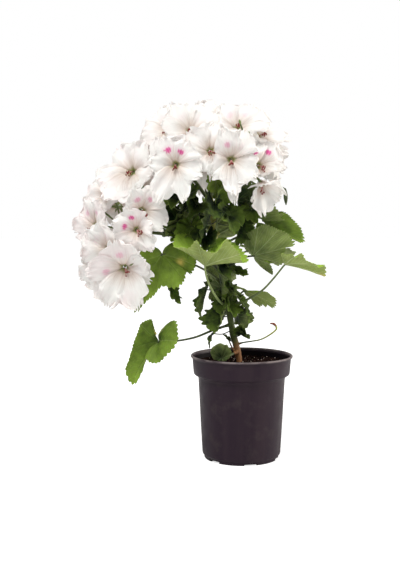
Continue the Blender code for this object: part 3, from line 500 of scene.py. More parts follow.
# Each leaf: its place on the stem, the way points of its stalk, where the stalk meets the blade, how
# light its green (its own tone, and painted shade for leaves that lie in shade) and its stalk are and, for
# the leaves whose edge isn't given below, the blade's tip, the way its upper side faces, and its width,
# cup and fold
LEAVES = {
    "leaf_low_left": (
        (-12.5, -1.0, 158.0), ((-34.0, -10.0, 152.0), (-55.0, -20.0, 145.0), (-78.0, -30.0, 142.0)),
        (-95.0, -37.0, 142.5), 0.44, 0.10, None,
    ),
    "leaf_mid_left": (
        (-24.0, -1.0, 218.0), ((-37.0, -4.0, 230.0), (-58.0, -14.0, 239.0), (-78.0, -22.0, 242.0)),
        (-92.0, -26.0, 241.0), 0.55, 0.15, None,
    ),
    "leaf_front": (
        (-16.5, -2.0, 178.0), ((-27.0, -16.0, 187.0), (-37.0, -34.0, 204.0), (-42.0, -44.0, 218.0)),
        (-43.5, -48.0, 229.0), 0.85, 0.85, None,
    ),
    "leaf_right": (
        (-24.5, -2.0, 222.0), ((-14.0, -8.0, 228.0), (-3.0, -15.0, 234.0), (5.0, -19.0, 238.0)),
        (12.0, -22.0, 239.0), 0.42, 0.05, None,
    ),
    "leaf_far_right": (
        (-16.5, 0.0, 180.0), ((2.0, -8.0, 186.0), (21.0, -18.0, 198.0), (34.0, -29.0, 213.0)),
        (46.5, -38.0, 230.0), 1.0, 0.35, None,
    ),
    "leaf_right_behind": (
        (-28.5, 1.0, 244.0), ((-12.0, 12.0, 256.0), (6.0, 18.0, 264.0), (20.0, 22.0, 270.0)),
        (30.0, 24.0, 273.0), 0.42, 0.15, None,
    ),
    "leaf_low_right_behind": (
        (-15.0, 2.0, 174.0), ((-10.0, 12.0, 180.0), (-5.0, 20.0, 187.0), (1.0, 25.0, 193.0)),
        (4.0, 27.0, 194.5), 0.95, 0.30, None,
    ),
    "leaf_in_pot": (
        (-5.0, -3.0, 126.0), ((-11.0, -9.0, 124.0), (-17.0, -16.0, 122.0), (-21.0, -20.0, 121.0)),
        (-24.0, -22.0, 121.0), 0.26, 0.20, None,
    ),
    "leaf_back_left": (
        (-21.5, 2.0, 206.0), ((-36.0, 18.0, 216.0), (-52.0, 34.0, 224.0), (-66.0, 46.0, 228.0)),
        (-76.0, 54.0, 228.0), 0.6, 0.3, ((-98.0, 84.0, 204.0), (-0.4, 0.6, 0.75), 1.0, 0.08, 0.1),
    ),
    "leaf_back": (
        (-18.0, 3.0, 190.0), ((-17.0, 22.0, 200.0), (-20.0, 38.0, 208.0), (-22.0, 50.0, 211.0)),
        (-23.0, 58.0, 211.0), 0.4, 0.2, ((-21.0, 94.0, 190.0), (0.0, 0.6, 0.8), 0.60, 0.06, 0.15),
    ),
    "leaf_back_right": (
        (-24.0, 2.5, 226.0), ((-8.0, 22.0, 236.0), (8.0, 38.0, 242.0), (20.0, 50.0, 243.0)),
        (28.0, 57.0, 242.0), 0.5, 0.3, ((50.0, 90.0, 222.0), (0.3, 0.5, 0.8), 1.0, 0.06, 0.1),
    ),
}
# The blades seen best: how their middle bows, and points round their edge from one side of the gap
# behind the stalk to the other, the middle point being the tip. Each point is a column and a row of the
# photograph and a guessed depth in millimetres.
PHOTO_MIDDLE = (200.0, 285.0)
PHOTO_FOCUS = 926.5
SEEN_EDGES = {
    "leaf_low_left": (
        (-12, 0, 6),
        ((163, 332, -45), (169, 322.5, -50), (176, 321, -55), (178, 331, -59), (175.5, 343, -60),
         (168, 355, -57), (158, 362.5, -53), (149.5, 362, -50), (145, 358.5, -46), (142, 374, -50),
         (132.5, 384, -50), (125.5, 370, -50), (130, 358, -50), (131.5, 352, -52), (134, 343, -54),
         (137, 333, -56), (141, 326, -56), (146, 320.5, -54), (151.5, 319.5, -50), (154, 327, -45),
         (156.5, 335, -41)),
    ),
    "leaf_mid_left": (
        (0, -8, 4),
        ((165, 247, -24), (174, 242, -21), (186, 245, -19), (196, 256, -17), (195, 267, -17),
         (190, 274, -19), (186, 272.5, -24), (184, 281, -29), (175, 288.5, -33), (162.5, 286, -33),
         (154, 295.5, -35), (146.5, 301.5, -36), (138, 311, -36), (128, 304.5, -34), (127, 292, -31),
         (129, 280, -28), (131, 269, -26), (135, 259, -25), (142, 250, -24), (150, 245.5, -24),
         (158, 248, -25)),
    ),
    "leaf_right": (
        (0, 4, -3),
        ((256.5, 262.5, -18), (263, 269, -14), (271.5, 275, -10), (273, 270, -14), (270, 263.5, -18),
         (265.5, 259.5, -22), (274, 262.5, -20), (283, 262, -24), (283.5, 255, -30), (286, 247.5, -37),
         (294.5, 244.5, -40), (290.5, 237, -40), (285.5, 232.5, -38), (279, 229.5, -36),
         (272.5, 227.5, -34), (265.5, 224.5, -32), (259, 226, -30), (253, 229.5, -27),
         (246, 234.5, -24), (241, 235.5, -22), (235, 232, -20)),
    ),
    "leaf_far_right": (
        (0, 0, 4),
        ((284, 259, -30), (284, 257, -18), (288, 259, -8), (293, 261, -4), (298, 263, -6),
         (303, 266, -12), (308, 270, -18), (313, 272, -22), (317, 271, -26), (321.5, 275, -29),
         (325.5, 275, -34), (325.5, 266, -38), (319, 267, -46), (313, 263.5, -52), (306, 259, -58),
         (301.5, 254.5, -64), (296, 256.5, -67), (291, 255.5, -67), (286, 255, -62),
         (281.5, 253.5, -54), (282.5, 259.5, -44)),
    ),
    "leaf_right_behind": (
        (0, -4, 5),
        ((262, 221, 26), (262, 216, 30), (267, 213.5, 34), (272, 215, 36), (277, 211.5, 37),
         (282, 212, 37), (288, 215, 35), (293, 219.5, 31), (298, 225, 26), (302, 232, 20),
         (304, 240, 14), (299, 242.5, 8), (292, 239, 4), (286, 237, 2), (279, 237, 2), (272, 238, 4),
         (265, 237, 8), (259, 233, 12), (256, 228, 17), (257, 223.5, 20), (261, 224, 22)),
    ),
}
# Two more such edges, in millimetres, since they were moved after they were picked
MOVED_EDGES = {
    "leaf_front": (
        (0, -2, 5),
        ((-39, -40, 251), (-31, -32, 258), (-21, -30, 260), (-8, -36, 252), (1, -40, 244),
         (5, -45, 233), (-2, -56, 234), (-6, -63, 243), (-12, -69, 251), (-20, -74, 258),
         (-31, -79, 248), (-40, -80, 245), (-47, -78, 250), (-53, -74, 258), (-60, -68, 251),
         (-68, -61, 249), (-77, -53, 252), (-78, -43, 260), (-72, -35, 265), (-61, -31, 262),
         (-49, -38, 252)),
    ),
    "leaf_low_right_behind": (
        (0, 0, 5),
        ((3, 28, 194), (5, 30, 191), (9, 31, 187), (13, 32, 184), (18, 32, 179), (23, 32, 175),
         (28, 31, 179), (30, 30, 175), (34, 30, 179), (37, 29, 174), (42, 28, 177), (42, 27, 185),
         (36, 26, 190), (29, 24, 194), (21, 23, 192), (15, 22, 194), (9, 22, 195), (3, 22, 198),
         (-3, 23, 200), (-8, 24, 201), (-4, 26, 197)),
    ),
}
# The round leaf in the pot: how its middle bows, the middle of its edge, its half width and half height,
# how far its foot and its top lean, the gap behind its stalk (degrees) and how uneven its edge is
ROUND_BOW = (0, -3, 0)
ROUND_MIDDLE = (-25.0, -27.5, 128.5)
ROUND_HALF_WIDTH = 12.0
ROUND_HALF_HEIGHT = 10.8
ROUND_LEAN = 3.5
ROUND_GAP = 8.0
ROUND_POINTS = 21
ROUND_LOBE = 0.03
ROUND_LOBE_STEP = 2.6
# Yellowed places: the leaf, then the angle from its tip, the distance from its stalk and the size
YELLOWED = {
    "leaf_low_left": ((-2.72, 0.42, 0.07), (-2.78, 0.28, 0.06)),
    "leaf_mid_left": ((1.62, 0.42, 0.07), (2.00, 0.66, 0.05)),
    "leaf_far_right": ((0.1, 0.95, 0.10),),
}


def leaf_edge(angle):
    """How far a leaf's edge is from its stalk, for a blade of length 1, at an angle from the tip."""
    reach = EDGE_MEAN + EDGE_SKEW * math.cos(angle) + EDGE_LOBE * math.cos(EDGE_LOBES * angle)
    back = abs(angle) / math.pi
    if back > SINUS_START:
        reach *= 1.0 - SINUS_DEPTH * (back - SINUS_START) / (1.0 - SINUS_START)
    return reach


def leaf_frame(base, tip, facing):
    """The way along a leaf's middle rib, across it and out of its upper side, and its length."""
    length = (tip - base).length
    along = (tip - base).normalized()
    out = (facing - facing.dot(along) * along).normalized()
    return along, out.cross(along), out, length


def give_skins(bm, sheet, thickness):
    """Gives an open sheet its hind skin, a little behind the one in front. Returns the hind one's points."""
    faces = faces_of(sheet)
    for face in faces:
        face.normal_update()
    shifts = []
    for vert in sheet:
        vert.normal_update()
        shifts.append(vert.normal * thickness)
    bmesh.ops.extrude_face_region(bm, geom=faces, use_keep_orig=True)
    for vert, shift in zip(sheet, shifts):
        vert.co -= shift
    return sheet


def fan_sheet(base, tip, facing, width, cup, fold, billow):
    """A blade shaped by rule: cupped, folded along its middle rib, and waved."""
    along, across, out, length = leaf_frame(base, tip, facing)

    def place(angle, share):
        reach = leaf_edge(angle) * share
        u, wide = reach * math.cos(angle), reach * math.sin(angle) * width
        lift = cup * (u * u + wide**2) + fold * (math.sqrt(wide**2 + 0.0006) - 0.0245)
        lift += WAVE * math.sin(5 * angle) * share**2 + billow * math.cos(BILLOWS * angle + base.x) * share**2
        return base + length * (u * along + wide * across + lift * out), out

    return place, length


def seen_point(column, row, depth):
    """The place, to the nearest millimetre, of a point seen in the photograph at a given depth."""
    left, front, high = (part / MM for part in CAMERA_PLACE)
    dip = math.pi / 2 - CAMERA_TILT
    slope = (PHOTO_MIDDLE[1] - row) / PHOTO_FOCUS
    rise = (depth - front) * (slope * math.cos(dip) - math.sin(dip)) / (math.cos(dip) + slope * math.sin(dip))
    away = (depth - front) * math.cos(dip) - rise * math.sin(dip)
    return round(left + (column - PHOTO_MIDDLE[0]) * away / PHOTO_FOCUS), depth, round(high + rise)


def round_edge():
    """Points round the leaf in the pot, to the nearest millimetre, from its foot up its right side."""
    x, y, z = ROUND_MIDDLE
    edge = []
    for index in range(ROUND_POINTS):
        turn = math.radians(-90.0 + ROUND_GAP / 2 + index * (360.0 - ROUND_GAP) / (ROUND_POINTS - 1))
        swell = 1.0 + ROUND_LOBE * math.sin(index * ROUND_LOBE_STEP)
        edge.append((
            round(x + ROUND_HALF_WIDTH * swell * math.cos(turn)), round(y - ROUND_LEAN * math.sin(turn)),
            round(z + ROUND_HALF_HEIGHT * swell * math.sin(turn)),
        ))
    return edge


def edged_sheet(heart, bow, edge):
    """A blade that spreads from its stalk to given points of its edge."""
    rim = smooth_way(edge, EDGE_STEPS)
    last = len(rim) - 1

    def place(angle, share):
        index = (1 - angle / (math.pi * NOTCH)) / 2 * last
        low = min(max(int(index), 0), last - 1)
        ray = rim[low] + (rim[low + 1] - rim[low]) * (index - low) - heart
        out = (rim[min(low + 3, last)] - rim[max(low - 2, 0)]).cross(ray).normalized()
        return heart + ray * share + bow * share * (1 - share), out

    return place, sum((point - heart).length for point in rim) / len(rim)


def add_blade(bm, sheet, counts, tint, crumple=1.0, tooth_size=TOOTH_SIZE, yellowed=()):
    """One blade: a grid bent into a toothed, puckered fan that is open behind the stalk, then given skins."""
    place, length = sheet
    spokes, rings, teeth = counts
    blade = bm.verts.layers.float_vector["blade"]
    under = bm.verts.layers.float["under"]
    yellow = bm.verts.layers.float["yellow"]
    phase = place(0.0, 0.0)[0].dot(Vector((0.13, 0.0, 0.21)))
    verts = bmesh.ops.create_grid(bm, x_segments=spokes, y_segments=rings, size=1.0)["verts"]
    for vert in verts:
        spoke, share = vert.co.x, ((vert.co.y + 1) / 2) ** 0.85
        angle = -spoke * math.pi * NOTCH
        tooth = spoke * teeth / 2 + 0.5
        spike = 1 - abs(2 * (tooth % 1.0) - 1)
        size = 0.5 + 1.1 * abs(noise.noise(Vector((math.floor(tooth) * 3.7, phase, 0.5))))
        share *= 1 + tooth_size * size * (math.sqrt(spike) - 0.6) * share**7
        reach = leaf_edge(angle) * share
        u, v = reach * math.cos(angle), reach * math.sin(angle)
        vein = abs(angle) / VEIN_SPREAD
        aside = reach * math.sin(abs(vein - min(round(vein), 3)) * VEIN_SPREAD)
        swell = PUCKER * share * math.sin(vein * math.pi) ** 2
        swell -= VALLEY * math.exp(-((aside / 0.03) ** 2)) * share
        ruffle = RUFFLE * share**3 * math.sin(11 * angle + phase)
        ruffle += RUFFLE * share**2 * noise.noise(Vector((u * 6.0, v * 6.0, phase)))
        vert[blade] = (u, v, tint)
        for turn, far, spot in yellowed:
            gap = math.hypot(u - far * math.cos(turn), v - far * math.sin(turn)) / spot
            vert[yellow] = max(vert[yellow], math.exp(-gap * gap))
        point, out = place(angle, share)
        vert.co = point + out * (length * crumple * (swell + ruffle))
    bmesh.ops.remove_doubles(bm, verts=verts, dist=0.0005)
    for vert in give_skins(bm, [vert for vert in verts if vert.is_valid], LEAF_SKIN):
        vert[under] = 1.0


def add_stalk(bm, way, radii, sides, light):
    """A green stalk that is as light as said."""
    blade = bm.verts.layers.float_vector["blade"]
    for face in roll_tube(bm, way, radii, sides, slot=1):
        for vert in face.verts:
            vert[blade] = (0.0, 0.0, light)


def new_leafy():
    """An empty mesh whose points carry a leaf's own measures."""
    bm = bmesh.new()
    bm.verts.layers.float_vector.new("blade")
    bm.verts.layers.float.new("under")
    bm.verts.layers.float.new("yellow")
    return bm


def leaf_veins(name):
    """Shared effect: the main veins, side veins and fine net of a blade, from its own measures."""
    tree = bpy.data.node_groups.new(name, "ShaderNodeTree")
    tree.interface.new_socket("Along", in_out="INPUT", socket_type="NodeSocketFloat")
    tree.interface.new_socket("Across", in_out="INPUT", socket_type="NodeSocketFloat")
    for mask in ("Main veins", "Side veins", "Net", "Distance"):
        tree.interface.new_socket(mask, in_out="OUTPUT", socket_type="NodeSocketFloat")
    given = tree.nodes.new("NodeGroupInput").outputs
    result = tree.nodes.new("NodeGroupOutput").inputs
    turn = maths(tree, "ABSOLUTE", maths(tree, "ARCTAN2", given["Across"], given["Along"]))
    along_squared = maths(tree, "POWER", given["Along"], 2.0)
    across_squared = maths(tree, "POWER", maths(tree, "ABSOLUTE", given["Across"]), 2.0)
    far = maths(tree, "SQRT", maths(tree, "ADD", along_squared, across_squared))
    count = maths(tree, "DIVIDE", turn, VEIN_SPREAD)
    off = maths(tree, "SUBTRACT", count, maths(tree, "MINIMUM", maths(tree, "ROUND", count), 3.0))
    off = times(tree, off, VEIN_SPREAD)
    aside = maths(tree, "ABSOLUTE", times(tree, far, maths(tree, "SINE", off)))
    onward = times(tree, far, maths(tree, "COSINE", off))
    breadth = maths(tree, "MULTIPLY_ADD", far, -0.018, 0.026)
    main = maths(tree, "SUBTRACT", 1.0, eased(tree, maths(tree, "DIVIDE", aside, breadth), 0.25, 1.0))
    lines = times(tree, maths(tree, "MULTIPLY_ADD", aside, -1.15, onward), 8.0)
    gap = maths(tree, "ABSOLUTE", maths(tree, "SUBTRACT", maths(tree, "FRACT", lines), 0.5))
    side = maths(tree, "SUBTRACT", 1.0, eased(tree, gap, 0.02, 0.11))
    blade = wire(tree, "CombineXYZ", {0: given["Along"], 1: given["Across"]}).outputs[0]
    cells = wire(tree, "TexVoronoi", {"Vector": blade, "Scale": 26.0}, feature="DISTANCE_TO_EDGE")
    net = maths(tree, "SUBTRACT", 1.0, eased(tree, cells.outputs["Distance"], 0.0, 0.13))
    for output, mask in zip((main, side, net, far), ("Main veins", "Side veins", "Net", "Distance")):
        tree.links.new(output, result[mask])
    return tree


leaf_green, leaf_tree, leaf_shader = new_finish(
    "leaf_green", Specular_IOR_Level=0.18, Subsurface_Weight=0.06, Subsurface_Radius=(0.4, 1.0, 0.2),
    Subsurface_Scale=0.002, Sheen_Weight=0.02, Sheen_Roughness=0.6,
)
leaf_measures = wire(leaf_tree, "SeparateXYZ", {
    0: wire(leaf_tree, "Attribute", attribute_name="blade").outputs["Vector"]
}).outputs
leaf_under = wire(leaf_tree, "Attribute", attribute_name="under").outputs["Fac"]
leaf_yellow = wire(leaf_tree, "Attribute", attribute_name="yellow").outputs["Fac"]
veins = wire(leaf_tree, "Group", node_tree=leaf_veins("leaf_veins"))
leaf_tree.links.new(leaf_measures["X"], veins.inputs["Along"])
leaf_tree.links.new(leaf_measures["Y"], veins.inputs["Across"])
vein_out = veins.outputs
leaf_mottle = speckle(leaf_tree, place_in(leaf_tree), 90.0, 4.0)
leaf_patches = maths(leaf_tree, "MULTIPLY_ADD", leaf_mottle, 0.8, -0.60)
# Painted shade: each leaf's own lightness is set lower for leaves that lie in shade, and the rise with
# distance from the stalk paints every blade darker near its stalk
leaf_tone_and_shade = maths(leaf_tree, "ADD", leaf_measures["Z"], leaf_patches)
leaf_tone_and_shade = maths(leaf_tree, "ADD", leaf_tone_and_shade, times(leaf_tree, vein_out["Distance"], 0.40))
leaf_tone_and_shade = wire(leaf_tree, "Clamp", {0: leaf_tone_and_shade}).outputs[0]
leaf_upper = tinted(leaf_tree, leaf_tone_and_shade, (0.003, 0.012, 0.002), (0.310, 0.480, 0.050))
leaf_vein_hue = tinted(leaf_tree, leaf_tone_and_shade, (0.016, 0.042, 0.008), (0.420, 0.570, 0.120))
vein_share = maths(leaf_tree, "MAXIMUM", times(leaf_tree, vein_out["Main veins"], 0.75),
                   times(leaf_tree, vein_out["Side veins"], 0.3))
leaf_upper = tinted(leaf_tree, vein_share, leaf_upper, leaf_vein_hue)
net_shade = times(leaf_tree, vein_out["Net"], 0.25)
leaf_upper = tinted(leaf_tree, net_shade, leaf_upper, leaf_vein_hue)
leaf_lower = tinted(leaf_tree, leaf_tone_and_shade, (0.020, 0.040, 0.012), (0.390, 0.480, 0.140))
leaf_lower_vein = tinted(leaf_tree, leaf_tone_and_shade, (0.090, 0.130, 0.045), (0.600, 0.680, 0.320))
lower_share = maths(leaf_tree, "MAXIMUM", times(leaf_tree, vein_out["Main veins"], 0.95),
                    times(leaf_tree, vein_out["Side veins"], 0.5))
leaf_lower = tinted(leaf_tree, lower_share, leaf_lower, leaf_lower_vein)
leaf_hue = tinted(leaf_tree, leaf_under, leaf_upper, leaf_lower)
leaf_hue = tinted(leaf_tree, times(leaf_tree, leaf_yellow, 0.95), leaf_hue, (0.72, 0.56, 0.14))
leaf_tree.links.new(leaf_hue, leaf_shader.inputs["Base Color"])
leaf_gloss = wire(leaf_tree, "MapRange", {0: leaf_mottle, 1: 0.3, 2: 0.7, 3: 0.50, 4: 0.68}).outputs[0]
leaf_tree.links.new(leaf_gloss, leaf_shader.inputs["Roughness"])
vein_way = maths(leaf_tree, "MULTIPLY_ADD", leaf_under, 2.0, -1.0)
vein_relief = times(leaf_tree, vein_share, vein_way)
leaf_relief = maths(leaf_tree, "MULTIPLY_ADD", vein_out["Net"], -0.25, vein_relief)
leaf_bump = wire(leaf_tree, "Bump", {"Strength": 0.6, "Distance": 0.0008, "Height": leaf_relief})
leaf_tree.links.new(leaf_bump.outputs[0], leaf_shader.inputs["Normal"])

stalk_green, stalk_tree, stalk_shader = new_finish(
    "stalk_green", Roughness=0.55, Specular_IOR_Level=0.35, Sheen_Weight=0.15
)
stalk_streaks = speckle(stalk_tree, place_in(stalk_tree), 190.0, 4.0)
stalk_measures = wire(stalk_tree, "SeparateXYZ", {
    0: wire(stalk_tree, "Attribute", attribute_name="blade").outputs["Vector"]
}).outputs
stalk_stripes = maths(stalk_tree, "MULTIPLY_ADD", stalk_streaks, 0.3, -0.15)
stalk_shade = maths(stalk_tree, "ADD", stalk_measures["Z"], stalk_stripes)
stalk_hue = tinted(stalk_tree, stalk_shade, (0.012, 0.024, 0.005), (0.330, 0.420, 0.150))
stalk_tree.links.new(stalk_hue, stalk_shader.inputs["Base Color"])
stalk_bump = wire(stalk_tree, "Bump", {"Strength": 0.3, "Distance": 0.0003, "Height": stalk_streaks})
stalk_tree.links.new(stalk_bump.outputs[0], stalk_shader.inputs["Normal"])

leaf_edges = {
    name: (bow, [seen_point(*spot) for spot in spots]) for name, (bow, spots) in SEEN_EDGES.items()
}
leaf_edges.update(MOVED_EDGES)
leaf_edges["leaf_in_pot"] = (ROUND_BOW, round_edge())
for leaf_name, (root, way, heart, light, stalk_light, shape) in LEAVES.items():
    heart = Vector(heart)
    if shape is None:
        bow, edge = leaf_edges[leaf_name]
        sheet = edged_sheet(heart, Vector(bow), edge)
    else:
        tip, facing, *bend = shape
        sheet = fan_sheet(heart, Vector(tip), Vector(facing), *bend, billow=0.05)
    leaf = new_leafy()
    onward = (sheet[0](0.0, 0.1)[0] - heart).normalized() * 2.0
    stalk_way = smooth_way([root, *way, heart, heart + onward], 6)
    add_stalk(leaf, stalk_way, spread_radii(LEAF_STALK_RADII, len(stalk_way)), 8, stalk_light)
    add_blade(
        leaf, sheet, (LEAF_SPOKES, LEAF_RINGS, LEAF_TEETH), light, SMOOTH_LEAVES.get(leaf_name, 1.0),
        yellowed=YELLOWED.get(leaf_name, ()),
    )
    dress(set_down("blade_of_" + leaf_name, leaf, leaf_green, stalk_green), "leaf", leaf_name)
    add_stub(stem, [root, *way], LEAF_STALK_RADII[0])

# Small leaves

# Young, dark leaves that hug the stem and fill the crown under the blooms; their dark green is partly
# painted shade. They are the same soft sheets, more crumpled, each on a thin stalk from the stem or from
# one of four short side shoots.
SMALL_SPOKES = 68
SMALL_RINGS = 6
SMALL_TEETH = 17
SMALL_TOOTH_SIZE = 0.16
SMALL_WIDTHS = (0.55, 0.95)
SMALL_CUPS = (-0.35, 0.45)
SMALL_FOLDS = (0.1, 0.9)
SMALL_ROLL = 45.0
SMALL_CRUMPLE = 2.6
SMALL_STALK_RADII = (0.75, 0.6)
SHOOT_RADII = (1.7, 1.3, 0.9)
# Leaves on the stem: where each blade starts, its tip, its width for its length, how far it is rolled
# over (degrees), and how light its green is, set low as painted shade where the leaf lies in shade
STEM_LEAVES = (
    ((-29, -10, 226), (-19, -17, 191), 0.50, -8, 0.12), ((-14, -3, 225), (2, -12, 210), 0.42, 20, 0.16),
    ((-41, -7, 199), (-51, -13, 170), 0.40, 25, 0.10), ((-13, -6, 201), (3, -14, 185), 0.55, -10, 0.14),
    ((-23, -10, 168), (-30, -16, 148), 1.05, 0, 0.12), ((1, -4, 183), (12, -9, 163), 0.62, -15, 0.24),
    ((-19, -8, 188), (-27, -18, 172), 0.85, 10, 0.18), ((-15, -7, 186), (-10, -17, 168), 0.80, -15, 0.28),
    ((0, -3, 150), (-1, -6, 160), 1.00, 0, 0.18), ((-1, -3, 146), (8, -5, 140), 0.80, 0, 0.12),
    ((-34, -2, 147), (-42, -6, 133), 0.75, 20, 0.06),
    ((-16, -5, 141), (-22, -8, 147), 0.80, 0, 0.10),
    ((-24, 2, 201), (-22, 14, 178), 0.80, 0, 0.30), ((-24, 22, 232), (-27, 37, 209), 0.80, 10, 0.35),
    ((-4, 6, 168), (2, 14, 148), 0.80, -10, 0.25), ((-20, 10, 176), (-27, 19, 157), 0.80, 10, 0.30),
)
# Leaves in the crown: where each blade starts, where it points (degrees right of the front, degrees
# up) and its length
SHOOTS = {
    "crown_left": (
        ((-31.0, 0.5, 258.0), (-48.0, -10.0, 272.0), (-68.0, -16.0, 290.0)),
        (
            ((-82.4, -16.2, 298.1), (-62.0, -10.0), 27.2), ((-69.8, -34.5, 305.9), (-26.0, -40.0), 29.9),
            ((-59.9, -21.2, 272.5), (-12.0, -59.0), 32.0), ((-76.8, -15.0, 282.2), (-70.0, -48.0), 26.5),
            ((-47.5, -13.9, 290.2), (2.0, 7.0), 26.0), ((-66.5, 7.5, 290.0), (-161.0, -23.0), 28.1),
            ((-59.6, -13.7, 303.9), (-14.0, 68.0), 26.0), ((-82.0, -14.0, 204.0), (56.0, -80.0), 21.0),
            ((-70.0, -16.0, 264.0), (-72.0, -14.0), 24.0), ((-70.0, -18.0, 278.0), (-66.0, -28.0), 25.0),
            ((-62.0, -20.0, 266.0), (-58.0, -42.0), 24.0), ((-54.0, -30.0, 296.0), (-10.0, -20.0), 22.0),
        ),
    ),
    "crown_front": (
        ((-30.5, -1.0, 250.0), (-31.0, -14.0, 264.0), (-29.0, -24.0, 286.0)),
        (
            ((-33.6, -37.1, 299.6), (3.0, -34.0), 27.8), ((-18.1, -34.4, 288.2), (24.0, -50.0), 27.8),
            ((-41.0, -32.1, 276.0), (-31.0, -52.0), 27.4), ((-42.0, -27.0, 262.0), (-16.0, -62.0), 23.7),
            ((-27.8, -21.0, 304.0), (5.0, 63.0), 25.9), ((-31.0, -12.0, 324.0), (0.0, -66.0), 25.0),
        ),
    ),
    "crown_right": (
        ((-32.0, 1.0, 262.0), (-12.0, -4.0, 273.0), (6.0, -6.0, 288.0)),
        (
            ((10.0, -16.0, 292.0), (20.0, -42.0), 25.0), ((-3.8, -17.7, 276.9), (1.0, -60.0), 28.1),
            ((18.1, -5.8, 282.4), (80.0, -21.0), 28.0), ((-6.3, -12.9, 302.2), (10.0, 58.0), 26.9),
            ((9.2, -13.1, 301.9), (32.0, 52.0), 26.0), ((9.2, 12.3, 292.4), (122.0, -16.0), 27.9),
        ),
    ),
    "crown_back": (
        ((-32.5, 2.0, 266.0), (-32.0, 20.0, 276.0), (-34.0, 36.0, 288.0)),
        (
            ((-36.0, 49.7, 295.6), (181.0, -21.0), 32.5), ((-52.3, 37.9, 288.3), (219.0, -45.0), 30.2),
            ((-14.4, 39.6, 288.4), (143.0, -38.0), 29.3), ((-30.4, 42.3, 271.9), (181.0, -58.0), 29.4),
            ((-56.0, 24.0, 274.0), (240.0, -42.0), 28.0), ((-4.8, 25.1, 275.9), (176.0, -47.0), 28.0),
        ),
    ),
}


def facing_vector(degrees):
    """The unit vector that points so far right of the front and so far up."""
    turn, rise = (math.radians(angle) for angle in degrees)
    return Vector((math.sin(turn) * math.cos(rise), -math.cos(turn) * math.cos(rise), math.sin(rise)))


def nearest_on(way, point):
    """The place on a path that is nearest to a point."""
    places = []
    for a, b in zip(way, way[1:]):
        share = (point - a).dot(b - a) / (b - a).length_squared
        places.append(a + min(max(share, 0.0), 1.0) * (b - a))
    return min(places, key=lambda place: (place - point).length)


def add_small_leaf(bm, heart, tip, carrier, shape, roll, light):
    """A small leaf on its thin stalk, which leaves the nearest point of what carries it."""
    heart, tip = Vector(heart), Vector(tip)
    ahead = (tip - heart).normalized()
    level = Vector((ahead.x, ahead.y, 0.0)).normalized()
    facing = Matrix.Rotation(math.radians(roll), 3, ahead) @ (Vector((0.0, 0.0, 1.0)) + 0.6 * level)
    root = nearest_on(carrier, heart)
    sag = (heart - root).length * 0.12
    way = smooth_way([root, (root + heart) / 2 - Vector((0.0, 0.0, sag)), heart, heart + ahead * 1.5], 4)
    add_stalk(bm, way, spread_radii(SMALL_STALK_RADII, len(way)), 6, light)
    add_blade(
        bm, fan_sheet(heart, tip, facing, *shape, billow=0.08), (SMALL_SPOKES, SMALL_RINGS, SMALL_TEETH),
        light, SMALL_CRUMPLE, SMALL_TOOTH_SIZE,
    )


dice = random.Random(11)
stem_leaves = new_leafy()
for heart, tip, wide, roll, light in STEM_LEAVES:
    shape = (wide, dice.uniform(*SMALL_CUPS), dice.uniform(*SMALL_FOLDS))
    add_small_leaf(stem_leaves, heart, tip, [Vector(point) for point, radius in STEM], shape, roll, light)
dress(set_down("small_leaves_on_stem", stem_leaves, leaf_green, stalk_green), "leaf", "main_stem")
for shoot_name, (shoot_way, shoot_leaves) in SHOOTS.items():
    shoot = new_leafy()
    way = smooth_way(shoot_way, 6)
    add_stalk(shoot, way, spread_radii(SHOOT_RADII, len(way)), 10, 0.55)
    for heart, degrees, length in shoot_leaves:
        shape = (dice.uniform(*SMALL_WIDTHS), dice.uniform(*SMALL_CUPS), dice.uniform(*SMALL_FOLDS))
        tip = Vector(heart) + facing_vector(degrees) * length
        roll = dice.uniform(-SMALL_ROLL, SMALL_ROLL)
        # Painted shade in part: crown leaves get a random lightness, kept low for the shade under the blooms
        add_small_leaf(shoot, heart, tip, way, shape, roll, dice.uniform(-0.05, 0.5))
    dress(set_down("shoot_of_" + shoot_name, shoot, leaf_green, stalk_green), "leaf", shoot_name)
    add_stub(stem, shoot_way, SHOOT_RADII[0])

# Withered stalk

# The stalk of a leaf that has dropped: thin, still green at the stem, yellow further out, and curled
# over at its dry brown tip.
WITHERED = (
    (-6.5, 0.0, 134.0), (2.0, -2.0, 136.5), (12.0, -5.0, 138.5), (22.0, -8.0, 141.0), (32.0, -12.0, 147.0),
    (39.5, -14.0, 154.0), (37.0, -14.0, 159.5), (32.0, -13.5, 160.5),
)
WITHERED_RADII = (1.05, 0.9, 0.85, 0.85, 0.9, 1.0, 1.6, 0.6)

withered_skin, withered_tree, withered_shader = new_finish("withered_skin", Roughness=0.8)
withered_along = wire(withered_tree, "SeparateXYZ", {0: place_in(withered_tree)}).outputs
withered_noise = speckle(withered_tree, place_in(withered_tree), 400.0)
yellow_share = eased(withered_tree, withered_along["X"], 0.0, 0.036)
withered_hue = tinted(withered_tree, yellow_share, (0.055, 0.110, 0.020), (0.330, 0.360, 0.080))
dry_line = maths(withered_tree, "MULTIPLY_ADD", withered_noise, 0.003, withered_along["Z"])
dry_share = eased(withered_tree, dry_line, 0.1585, 0.1605)
withered_hue = tinted(withered_tree, dry_share, withered_hue, (0.200, 0.050, 0.022))
withered_tree.links.new(withered_hue, withered_shader.inputs["Base Color"])
withered_bump = wire(withered_tree, "Bump", {"Strength": 0.6, "Distance": 0.0004, "Height": withered_noise})
withered_tree.links.new(withered_bump.outputs[0], withered_shader.inputs["Normal"])
withered = bmesh.new()
withered_way = smooth_way(WITHERED, 6)
roll_tube(withered, withered_way, spread_radii(WITHERED_RADII, len(withered_way)), 8)
dress(set_down("dry_stalk", withered, withered_skin), "withered", "withered_stalk")
add_stub(stem, WITHERED, WITHERED_RADII[0])

# Flower stalks

